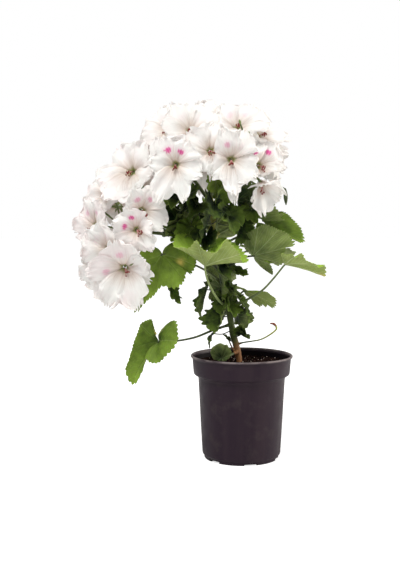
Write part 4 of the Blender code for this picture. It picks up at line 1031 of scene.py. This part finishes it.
# Each head of blooms stands on one soft green stalk that splits into a thin branch for each bloom. A
# branch swells into the bloom's calyx, whose five narrow sepals hold the petals from behind. Three
# branches end in a closed green bud.
HEAD_STALK_RADII = (2.2, 2.0, 1.9)
BRANCH_RADII = (1.3, 1.0, 0.95, 1.2, 1.9)
BRANCH_BEND = 0.35
BRANCH_STEPS = 12
SEPAL_TURNS = (0.0, 72.0, 144.0, 216.0, 288.0)
SEPAL_REACH = 0.34
SEPAL_HALF_WIDTH = 1.5
SEPAL_GAP = 0.9
SEPAL_SKIN = 0.4
BUD_RADII = (0.9, 1.7, 2.2, 2.1, 1.5, 0.4)
# Each closed bud: its head, the way points of its branch from the head's middle, its own two ends, and
# how thick and how light it is
BUDS = (
    (
        "upper_right", ((18.0, -4.0, 320.0), (38.0, -12.0, 320.0)),
        ((47.5, -27.0, 315.0), (48.0, -32.0, 297.0)), 1.15, 0.1,
    ),
    (
        "upper_right", ((0.0, -34.0, 352.0), (-2.0, -54.0, 376.0)),
        ((-5.0, -63.0, 384.0), (-6.5, -66.0, 389.0)), 0.7, 0.6,
    ),
    (
        "upper_right", ((6.0, -34.0, 348.0), (7.0, -52.0, 366.0)),
        ((5.0, -61.0, 373.0), (3.0, -65.0, 377.0)), 0.6, 0.6,
    ),
)
# Each flower head: where its stalk leaves the stem, a point on the way, and its middle
HEADS = {
    "upper_left": ((-35.5, 2.5, 297.0), (-47.0, -4.0, 314.0), (-62.0, -10.0, 334.0)),
    "upper_right": ((-33.5, 2.0, 276.0), (-16.0, -6.0, 302.0), (2.0, -12.0, 330.0)),
    "upper_back": ((-36.0, 3.0, 300.0), (-35.0, 16.0, 315.0), (-30.0, 30.0, 334.0)),
    "lower_left": ((-30.5, 1.0, 250.0), (-80.0, 4.0, 262.0), (-138.0, -2.0, 268.0)),
    "middle_left": ((-32.5, 1.5, 268.0), (-72.0, 2.0, 284.0), (-112.0, -2.0, 298.0)),
}
# Each bloom: its head, the middle of its throat, where it faces (degrees right of the front, degrees
# up), how far it is turned, the length of its petals, and how wide it is open, 1.0 being flat open
BLOOMS = {
    "bloom_01": ("upper_left", (-76.0, -68.0, 341.0), (-6.0, 2.0), 0.0, 39.0, 1.0),
    "bloom_02": ("upper_left", (-60.0, -48.0, 381.0), (-4.0, 34.0), 0.0, 36.0, 1.0),
    "bloom_03": ("upper_left", (-85.0, -38.0, 381.0), (-26.0, 28.0), 0.0, 35.0, 1.0),
    "bloom_04": ("upper_left", (-38.0, -64.0, 357.0), (-2.0, 14.0), 18.0, 35.0, 0.92),
    "bloom_05": ("upper_right", (-15.0, -69.0, 346.0), (2.0, 2.0), 0.0, 38.0, 0.92),
    "bloom_06": ("upper_right", (19.0, -54.0, 341.0), (38.0, 6.0), 0.0, 35.0, 0.95),
    "bloom_07": ("upper_right", (21.0, -44.0, 316.0), (24.0, -46.0), 0.0, 33.0, 0.62),
    "bloom_08": ("upper_right", (-7.0, -42.0, 386.0), (6.0, 48.0), 0.0, 36.0, 0.95),
    "bloom_09": ("upper_right", (20.0, -24.0, 378.0), (52.0, 42.0), 0.0, 35.0, 0.95),
    "bloom_10": ("upper_left", (-36.0, -26.0, 395.0), (-4.0, 64.0), 0.0, 36.0, 1.0),
    "bloom_11": ("upper_left", (-72.0, 2.0, 393.0), (-72.0, 62.0), 0.0, 36.0, 1.0),
    "bloom_12": ("upper_left", (-104.0, -8.0, 366.0), (-62.0, 28.0), 0.0, 36.0, 1.0),
    "bloom_13": ("upper_back", (-28.0, 12.0, 400.0), (160.0, 80.0), 0.0, 36.0, 1.0),
    "bloom_14": ("upper_back", (4.0, 16.0, 389.0), (130.0, 60.0), 0.0, 36.0, 1.0),
    "bloom_15": ("upper_right", (38.0, 6.0, 356.0), (92.0, 16.0), 0.0, 35.0, 1.0),
    "bloom_16": ("upper_back", (24.0, 46.0, 360.0), (140.0, 22.0), 0.0, 36.0, 1.0),
    "bloom_17": ("upper_back", (-8.0, 66.0, 350.0), (168.0, 8.0), 0.0, 37.0, 1.0),
    "bloom_18": ("upper_back", (-46.0, 68.0, 348.0), (184.0, 6.0), 0.0, 37.0, 1.0),
    "bloom_19": ("upper_back", (-80.0, 52.0, 354.0), (218.0, 14.0), 0.0, 37.0, 1.0),
    "bloom_20": ("upper_back", (-52.0, 44.0, 385.0), (200.0, 50.0), 0.0, 36.0, 1.0),
    "bloom_21": ("upper_back", (-16.0, 48.0, 383.0), (168.0, 48.0), 0.0, 36.0, 1.0),
    "bloom_22": ("middle_left", (-127.0, -40.0, 336.0), (-26.0, 16.0), 0.0, 36.0, 1.0),
    "bloom_23": ("middle_left", (-110.0, -64.0, 291.0), (30.0, 0.0), 0.0, 33.0, 0.95),
    "bloom_24": ("middle_left", (-132.0, 2.0, 336.0), (-100.0, 46.0), 0.0, 36.0, 1.0),
    "bloom_25": ("middle_left", (-114.0, 40.0, 316.0), (184.0, 20.0), 0.0, 37.0, 1.0),
    "bloom_26": ("lower_left", (-156.0, -30.0, 311.0), (-40.0, 28.0), 0.0, 33.0, 1.0),
    "bloom_27": ("lower_left", (-174.0, -6.0, 293.0), (-80.0, 16.0), 0.0, 32.0, 1.0),
    "bloom_28": ("lower_left", (-170.0, -42.0, 274.0), (-50.0, 2.0), 0.0, 33.0, 1.0),
    "bloom_29": ("lower_left", (-152.0, -62.0, 248.0), (-22.0, -6.0), 26.0, 36.0, 0.95),
    "bloom_30": ("lower_left", (-118.0, -70.0, 270.0), (4.0, 2.0), 47.0, 36.0, 0.95),
    "bloom_31": ("lower_left", (-132.0, -64.0, 226.0), (0.0, -22.0), 50.0, 44.0, 0.92),
    "bloom_32": ("lower_left", (-165.0, -30.0, 220.0), (-56.0, -24.0), 0.0, 34.0, 0.95),
    "bloom_33": ("lower_left", (-172.0, 18.0, 256.0), (-108.0, -4.0), 0.0, 35.0, 1.0),
    "bloom_34": ("lower_left", (-146.0, 44.0, 260.0), (194.0, -4.0), 0.0, 37.0, 1.0),
    "bloom_35": ("lower_left", (-150.0, 30.0, 300.0), (218.0, 28.0), 0.0, 36.0, 1.0),
}
THROAT_DEPTH = 9.0
THROAT_RADIUS = 1.4
CLAW_ANGLE = 24.0
OPEN_ANGLE = 92.0


def bloom_frame(facing, spin):
    """The way a bloom faces, its upward way and its sideways way."""
    axis = facing_vector(facing)
    upward = Vector((0.0, 0.0, 1.0)) if abs(axis.z) < 0.95 else Vector((0.0, 1.0, 0.0))
    up = (upward - upward.dot(axis) * axis).normalized()
    up = Matrix.Rotation(math.radians(spin), 3, axis) @ up
    return axis, up, up.cross(axis)


def petal_run(reach, length, opening):
    """How far out from the axis, and how far along it, a petal's middle line is at a reach of 0 to 1."""
    out, high = THROAT_RADIUS, -THROAT_DEPTH
    steps = 12
    for step in range(steps):
        part = (step + 0.5) / steps * reach
        lean = math.radians(CLAW_ANGLE + (OPEN_ANGLE * opening - CLAW_ANGLE) * (1 - (1 - part) ** 2.4))
        out += math.sin(lean) * reach / steps * length
        high += math.cos(lean) * reach / steps * length
    return out, high


def add_sepals(bm, bloom):
    """Five narrow pointed sepals that lie close behind the petals."""
    throat, (axis, up, right), length, opening = bloom
    for turn in SEPAL_TURNS:
        turn = math.radians(turn + 36.0)
        outward = math.cos(turn) * up + math.sin(turn) * right
        sideways = -math.sin(turn) * up + math.cos(turn) * right
        sepal = bmesh.ops.create_grid(bm, x_segments=2, y_segments=6, size=1.0)["verts"]
        for vert in sepal:
            side, share = vert.co.x, (vert.co.y + 1) / 2
            out, high = petal_run(share * SEPAL_REACH, length, opening)
            half = SEPAL_HALF_WIDTH * math.sin(math.pi * min(1.0, 0.18 + 0.82 * share)) ** 0.7 + 0.12
            high -= SEPAL_GAP + 2.6 * share**3 + 0.5 * side * side
            out += SEPAL_GAP * (1 - share)
            vert.co = throat + outward * out + sideways * half * side + axis * high
        for face in faces_of(sepal):
            face.material_index = 1
        for vert in sepal:
            vert[bm.verts.layers.float_vector["blade"]] = (0.0, 0.0, 0.55)
        give_skins(bm, sepal, SEPAL_SKIN)


blooms = {
    name: (Vector(throat), bloom_frame(facing, spin), length, opening)
    for name, (_, throat, facing, spin, length, opening) in BLOOMS.items()
}
for head, (head_root, head_way, head_middle) in HEADS.items():
    stalks = new_leafy()
    way = smooth_way([head_root, head_way, head_middle], 8)
    add_stalk(stalks, way, spread_radii(HEAD_STALK_RADII, len(way)), 10, 0.3)
    middle = Vector(head_middle)
    for name, row in BLOOMS.items():
        if row[0] != head:
            continue
        throat, (axis, up, right), length, opening = blooms[name]
        end = throat - axis * (THROAT_DEPTH + 0.6)
        bend = (end - middle).length * BRANCH_BEND
        a, b = middle + (end - middle).normalized() * bend, end - axis * bend
        curve = [
            middle * (1 - t) ** 3 + a * 3 * t * (1 - t) ** 2 + b * 3 * t * t * (1 - t) + end * t**3
            for t in (step / BRANCH_STEPS for step in range(BRANCH_STEPS + 1))
        ]
        add_stalk(stalks, curve, spread_radii(BRANCH_RADII, len(curve)), 8, 0.45)
        add_sepals(stalks, blooms[name])
    for bud_head, bud_way, (bud_foot, bud_tip), thickness, light in BUDS:
        if bud_head == head:
            branch = smooth_way([head_middle, *bud_way, bud_foot], 6)
            add_stalk(stalks, branch, spread_radii(BRANCH_RADII[:3], len(branch)), 8, 0.3)
            bud = smooth_way([bud_foot, bud_tip], 10)
            bud_radii = [thickness * radius for radius in spread_radii(BUD_RADII, len(bud))]
            add_stalk(stalks, bud, bud_radii, 10, light)
    dress(set_down("green_parts_of_" + head, stalks, leaf_green, stalk_green), "stalk", "stalks_" + head)
    add_stub(stem, [head_root, head_way], HEAD_STALK_RADII[0])
dress(set_down("stem_of_plant", stem, stem_skin), "stem", "main_stem")

# Blooms

# Five soft, frilled white petals joined in a short throat. The two upper ones carry a pink mark and
# fine pink veins, and thin drooping stamens with dark red tips stand in the throat.
PETAL_SKIN = 0.3
PETAL_COLUMNS = 30
PETAL_LINES = 18
CLAW_REACH = 0.04
# Each petal: its turn from the bloom's top, its length, its half width and how open it stands. The
# first two carry the marks. Blooms whose petals are seen well have their own.
PETALS = (
    (-33.0, 1.10, 0.62, 1.0), (33.0, 1.10, 0.62, 1.0), (104.0, 1.08, 0.54, 1.0), (180.0, 1.12, 0.50, 1.0),
    (256.0, 1.08, 0.54, 1.0),
)
OWN_PETALS = {
    "bloom_01": (
        (-25.0, 0.94, 0.62, 1.0), (30.0, 0.80, 0.60, 1.0), (112.0, 0.90, 0.44, 1.0),
        (161.0, 1.10, 0.30, 1.05), (208.0, 1.28, 0.38, 1.0), (268.0, 0.85, 0.42, 1.0),
    ),
    "bloom_04": (
        (-33.0, 1.0, 0.58, 1.0), (33.0, 1.0, 0.58, 1.0), (104.0, 0.95, 0.50, 1.0), (180.0, 0.95, 0.44, 1.0),
        (256.0, 0.95, 0.50, 1.0), (186.0, 1.30, 0.12, 1.08),
    ),
    "bloom_05": (
        (-17.0, 1.02, 0.44, 1.0), (26.0, 1.0, 0.60, 1.0), (128.0, 0.90, 0.50, 1.0), (178.0, 1.05, 0.42, 1.05),
        (232.0, 0.82, 0.44, 1.0), (172.0, 1.34, 0.22, 1.1),
    ),
    "bloom_07": (
        (-33.0, 0.85, 0.50, 0.8), (33.0, 0.85, 0.50, 0.8), (104.0, 0.90, 0.45, 0.8), (180.0, 1.05, 0.48, 0.8),
        (256.0, 0.90, 0.45, 0.8),
    ),
    "bloom_22": (
        (-33.0, 1.05, 0.60, 1.0), (33.0, 1.05, 0.60, 1.0), (104.0, 1.0, 0.52, 1.0), (172.0, 1.50, 0.60, 1.08),
        (236.0, 1.35, 0.55, 1.05), (205.0, 1.62, 0.50, 1.1),
    ),
    "bloom_23": (
        (-37.0, 0.92, 0.50, 1.0), (28.0, 0.98, 0.55, 1.0), (132.0, 1.05, 0.62, 1.0), (190.0, 0.95, 0.42, 1.0),
        (250.0, 0.95, 0.42, 1.0),
    ),
    "bloom_29": (
        (-24.0, 1.0, 0.56, 1.0), (24.0, 0.98, 0.52, 1.0), (100.0, 0.9, 0.50, 1.0), (170.0, 0.9, 0.50, 1.0),
        (272.0, 1.0, 0.55, 1.0),
    ),
    "bloom_30": (
        (-26.0, 0.90, 0.52, 1.0), (24.0, 0.90, 0.50, 1.0), (108.0, 0.66, 0.46, 0.7), (200.0, 0.92, 0.42, 1.0),
        (256.0, 0.88, 0.46, 1.0),
    ),
    "bloom_31": (
        (-42.0, 0.95, 0.46, 1.0), (34.0, 0.92, 0.50, 1.0), (106.0, 0.74, 0.50, 1.0), (162.0, 0.78, 0.42, 1.0),
        (214.0, 1.15, 0.40, 0.95), (256.0, 1.18, 0.42, 0.95),
    ),
}
TIP_DROP = 0.18
PETAL_SWAY = 13.0
SWAY_SHIFTS = (0.0, 31.7, 67.3)
PETAL_FLOW = 7.0
PLEAT = 1.1
PLEATS = 5.5
OVERLAP_LIFT = 2.2
CLAW_SPREAD = 1.3
WIDEST_REACH = 0.72
TIP_ROUNDING = 0.31
CRINKLE = 1.1
FRILL = 1.8
FRILL_WAVES = 13.0
PETAL_TOOTH = 0.055
PETAL_TEETH = 17.0
CELL_SLANT_DEPTH = 28.0
CELL_SOFTNESS = 4.0
CELL_MARGIN = -1.6
PETAL_STEP = 0.8
PETAL_LAYERS = (0, 1, 0, 1, 2, 3)
# How strong a bloom's pink marks are, where they differ from the others
FAINT_MARK = 0.35
MARKED = {
    "bloom_01": 1.0, "bloom_05": 0.56, "bloom_06": 0.9, "bloom_30": 1.0, "bloom_23": 0.55, "bloom_28": 0.5,
    "bloom_31": 0.5, "bloom_04": 0.1, "bloom_02": 0.2, "bloom_07": 0.3, "bloom_22": 0.15, "bloom_03": 0.25,
}
STAMENS = 7
FILAMENT_RADII = (0.35, 0.25)
ANTHER_SIZE = (0.75, 0.75, 1.7)


def petal_half_width(reach, out, widest):
    """The half width at a reach of 0 to 1: a narrow claw in its fifth of the circle, then a round blade."""
    if reach < WIDEST_REACH:
        blade = widest * math.sin(reach / WIDEST_REACH * math.pi / 2) ** 0.8
    else:
        blade = widest * math.sqrt(1.0 - ((reach - WIDEST_REACH) / TIP_ROUNDING) ** 2)
    return min(CLAW_SPREAD * out, blade)


def petal_point(bloom, petal, row, reach, side):
    """A point on the middle surface of a petal and its frill, before its neighbours press on it."""
    throat, (axis, up, right), length, opening = bloom
    turn, long, wide, stand = row
    seed = petal * 2.1 + throat.x * 0.3 + throat.z * 0.2
    sway = Vector([
        noise.noise(Vector((throat.x * 0.37 + shift, throat.z * 0.41, petal * 5.3))) for shift in SWAY_SHIFTS
    ])
    round_rim = math.atan2(side, (reach - 0.35) * 1.3)
    rim = 1 - (1 - reach**4) * (1 - abs(side) ** 3)
    nibble = PETAL_TOOTH * math.sin(PETAL_TEETH * round_rim + seed * 3.1)
    nibble += 2.6 * PETAL_TOOTH * noise.noise(Vector((round_rim * 2.2, seed, 4.0)))
    grow = 1 + nibble * rim * reach
    edge = min(reach * (1.0 - TIP_DROP * abs(side) ** 2.6) * grow, 1.04)
    out, high = petal_run(edge, length * long * (1 + 0.16 * sway.y), opening * stand + 0.26 * sway.z)
    turn = math.radians(turn + PETAL_SWAY * sway.x)
    outward = math.cos(turn) * up + math.sin(turn) * right
    sideways = -math.sin(turn) * up + math.cos(turn) * right
    half = petal_half_width(reach, out, length * wide) * grow
    lift = OVERLAP_LIFT * side * min(1.0, 2.0 * reach)
    lift += PETAL_FLOW * reach**1.5 * noise.noise(Vector((side * 1.7, reach * 1.4, seed)))
    lift += PLEAT * math.sin(PLEATS * side + seed) * math.sin(math.pi * min(1.0, reach * 0.9 + 0.1))
    lift += CRINKLE * reach * noise.noise(Vector((side * 7.0, reach * 6.0, seed * 1.9)))
    lift -= 0.8 * math.exp(-((side / 0.16) ** 2)) * math.sin(math.pi * min(1.0, reach))
    wander = 2.5 * noise.noise(Vector((round_rim * 1.5, seed, 9.0)))
    frill = math.sin(FRILL_WAVES * round_rim + seed * 1.7 + wander)
    frill = frill * (0.7 + 1.2 * noise.noise(Vector((round_rim * 1.1, seed, 2.0)))) + 0.5 * math.sin(
        2.2 * FRILL_WAVES * round_rim + seed
    )
    point = throat + outward * out + sideways * (half * side) + axis * (high + lift)
    return point, axis * (FRILL * rim * reach * frill)


def bloom_cells(blooms):
    """For each bloom, the slanted planes that share the room between it and its neighbours."""
    cells = {name: [] for name in blooms}
    names = list(blooms)
    for index, first in enumerate(names):
        for second in names[index + 1:]:
            here, there = blooms[first], blooms[second]
            gap = there[0] - here[0]
            if gap.length > here[2] + there[2]:
                continue
            between = gap.normalized()
            outward = here[1][0] + there[1][0]
            outward = outward - outward.dot(between) * between
            over = gap.dot(here[1][0] + there[1][0]) > 0.0
            slant = gap.length / CELL_SLANT_DEPTH * min(1.0, outward.length)
            normal = (between + (slant if over else -slant) * outward.normalized()).normalized()
            middle = (here[0] + there[0]) / 2
            cells[first].append((middle, normal))
            cells[second].append((middle, -normal))
    return cells


def confine(point, planes, margin):
    """Eases a point back inside every plane, by a smooth push that grows towards the plane."""
    for _ in range(3):
        for middle, normal in planes:
            over = (point - middle).dot(normal) + margin
            if over > -CELL_SOFTNESS:
                eased_gap = -CELL_SOFTNESS * math.exp(-(over + CELL_SOFTNESS) / CELL_SOFTNESS)
                point = point - normal * (over - eased_gap)
    return point


def add_stamens(bm, bloom, dice):
    """Thin filaments from the throat that droop in front of the lower petals, with their anthers."""
    throat, (axis, up, right), length, opening = bloom
    for index in range(STAMENS):
        turn = math.radians(150.0 + 60.0 * index / (STAMENS - 1) + dice.uniform(-12.0, 12.0))
        outward = math.cos(turn) * up + math.sin(turn) * right
        far = dice.uniform(2.0, 6.5)
        tip = throat + axis * dice.uniform(1.5, 4.5) + outward * far - up * dice.uniform(0.0, 2.0)
        way = smooth_way([
            throat - axis * (THROAT_DEPTH - 1.5) + outward * 0.4, throat - axis * 2.0 + outward * 1.2, tip
        ], 3)
        roll_tube(bm, way, spread_radii(FILAMENT_RADII, len(way)), 5, slot=1)
        anther = bmesh.ops.create_icosphere(bm, subdivisions=1, radius=1.0)["verts"]
        bmesh.ops.scale(bm, vec=ANTHER_SIZE, verts=anther)
        lean = (tip - way[-2]).cross(right).to_track_quat("Z", "Y").to_matrix()
        bmesh.ops.rotate(bm, matrix=lean, verts=anther)
        bmesh.ops.translate(bm, vec=tip, verts=anther)
        for face in faces_of(anther):
            face.material_index = 2


# Painted light: the petals glow faintly (emission 0.1) in their own colour, brightening their shaded parts
petal_white, petal_tree, petal_shader = new_finish(
    "petal_white", Roughness=0.55, Specular_IOR_Level=0.25, Subsurface_Weight=0.35,
    Subsurface_Radius=(1.0, 0.8, 0.8), Subsurface_Scale=0.003, Sheen_Weight=0.1,
    Emission_Strength=0.10,
)
petal_measures = wire(petal_tree, "SeparateXYZ", {
    0: wire(petal_tree, "Attribute", attribute_name="petal").outputs["Vector"]
}).outputs
petal_side, petal_reach, petal_mark = petal_measures["X"], petal_measures["Y"], petal_measures["Z"]
petal_flush = speckle(petal_tree, place_in(petal_tree), 45.0, 2.0)
petal_x = wire(petal_tree, "SeparateXYZ", {0: place_in(petal_tree)}).outputs["X"]
petal_left = eased(petal_tree, petal_x, -0.075, -0.150)
petal_warmth = maths(petal_tree, "MULTIPLY_ADD", petal_left, 0.55, 0.25)
petal_pink = times(petal_tree, eased(petal_tree, petal_flush, 0.35, 0.7), petal_warmth)
petal_hue = tinted(petal_tree, petal_pink, (0.89, 0.872, 0.84), (0.875, 0.775, 0.77))
fan_place = wire(petal_tree, "CombineXYZ", {0: times(petal_tree, petal_side, 9.0), 1: petal_reach})
fan = speckle(petal_tree, fan_place.outputs[0], 1.6, 3.0)
fan_lines = eased(petal_tree, fan, 0.52, 0.68)
petal_hue = tinted(petal_tree, times(petal_tree, fan_lines, 0.38), petal_hue, (0.72, 0.64, 0.63))
vein_fade = times(petal_tree, eased(petal_tree, petal_reach, 0.80, 0.30), petal_mark)
vein_waves = maths(petal_tree, "SINE", times(petal_tree, petal_side, 9.5))
vein_waves = maths(petal_tree, "ABSOLUTE", vein_waves)
pink_lines = times(petal_tree, eased(petal_tree, vein_waves, 0.25, 0.0), vein_fade)
petal_hue = tinted(petal_tree, times(petal_tree, pink_lines, 0.55), petal_hue, (0.62, 0.16, 0.28))
mark_across = maths(petal_tree, "ABSOLUTE", maths(petal_tree, "DIVIDE", petal_side, 0.24))
mark_across = maths(petal_tree, "POWER", mark_across, 2.0)
mark_along = maths(petal_tree, "DIVIDE", maths(petal_tree, "SUBTRACT", petal_reach, 0.52), 0.12)
mark_along = maths(petal_tree, "POWER", maths(petal_tree, "ABSOLUTE", mark_along), 2.0)
mark_gap = maths(petal_tree, "ADD", mark_across, maths(petal_tree, "MULTIPLY_ADD", fan, 2.4, mark_along))
mark_halo = times(petal_tree, eased(petal_tree, mark_gap, 4.2, 1.0), petal_mark)
petal_hue = tinted(petal_tree, times(petal_tree, mark_halo, 0.5), petal_hue, (0.80, 0.42, 0.55))
mark_strength = eased(petal_tree, petal_mark, 0.2, 0.9)
mark_share = times(petal_tree, eased(petal_tree, mark_gap, 2.1, 1.3), mark_strength)
petal_hue = tinted(petal_tree, mark_share, petal_hue, (0.68, 0.06, 0.28))
tan_streaks = maths(petal_tree, "MULTIPLY_ADD", fan, 0.9, 0.15)
tan_share = times(petal_tree, eased(petal_tree, petal_reach, 0.60, 0.14), tan_streaks)
petal_hue = tinted(petal_tree, tan_share, petal_hue, (0.56, 0.40, 0.30))
green_share = eased(petal_tree, petal_reach, 0.20, 0.06)
petal_hue = tinted(petal_tree, green_share, petal_hue, (0.27, 0.27, 0.09))
petal_tree.links.new(petal_hue, petal_shader.inputs["Base Color"])
# The petals' colour also feeds their painted glow
petal_tree.links.new(petal_hue, petal_shader.inputs["Emission Color"])
petal_relief = times(petal_tree, fan_lines, eased(petal_tree, petal_reach, 1.0, 0.5))
petal_bump = wire(petal_tree, "Bump", {"Strength": 0.6, "Distance": 0.0006, "Height": petal_relief})
petal_tree.links.new(petal_bump.outputs[0], petal_shader.inputs["Normal"])

filament_pink, filament_tree, filament_shader = new_finish("filament_pink", Roughness=0.5)
filament_spots = speckle(filament_tree, place_in(filament_tree), 600.0)
filament_hue = tinted(filament_tree, filament_spots, (0.62, 0.36, 0.34), (0.36, 0.10, 0.10))
filament_tree.links.new(filament_hue, filament_shader.inputs["Base Color"])
anther_red, anther_tree, anther_shader = new_finish("anther_red", Roughness=0.7)
anther_spots = speckle(anther_tree, place_in(anther_tree), 900.0)
anther_hue = tinted(anther_tree, anther_spots, (0.075, 0.012, 0.010), (0.36, 0.035, 0.030))
anther_tree.links.new(anther_hue, anther_shader.inputs["Base Color"])

cells = bloom_cells(blooms)
for name, bloom in blooms.items():
    dice = random.Random(name)
    head = bmesh.new()
    measures = head.verts.layers.float_vector.new("petal")
    for petal, row in enumerate(OWN_PETALS.get(name, PETALS)):
        margin = CELL_MARGIN + PETAL_STEP * PETAL_LAYERS[petal]
        mark = MARKED.get(name, FAINT_MARK) if petal < 2 else 0.0
        grid = bmesh.ops.create_grid(head, x_segments=PETAL_COLUMNS, y_segments=PETAL_LINES, size=1.0)
        for vert in grid["verts"]:
            side = math.sin(1.35 * vert.co.x) / math.sin(1.35)
            reach = CLAW_REACH + (1 - CLAW_REACH) * (1 - (0.5 - vert.co.y / 2) ** 1.25)
            vert[measures] = (side, reach, mark)
            point, frill = petal_point(bloom, petal, row, reach, side)
            vert.co = confine(point, cells[name], margin) + frill
        give_skins(head, grid["verts"], PETAL_SKIN)
    add_stamens(head, bloom, dice)
    dress(set_down("petals_of_" + name, head, petal_white, filament_pink, anther_red), "petal", name)
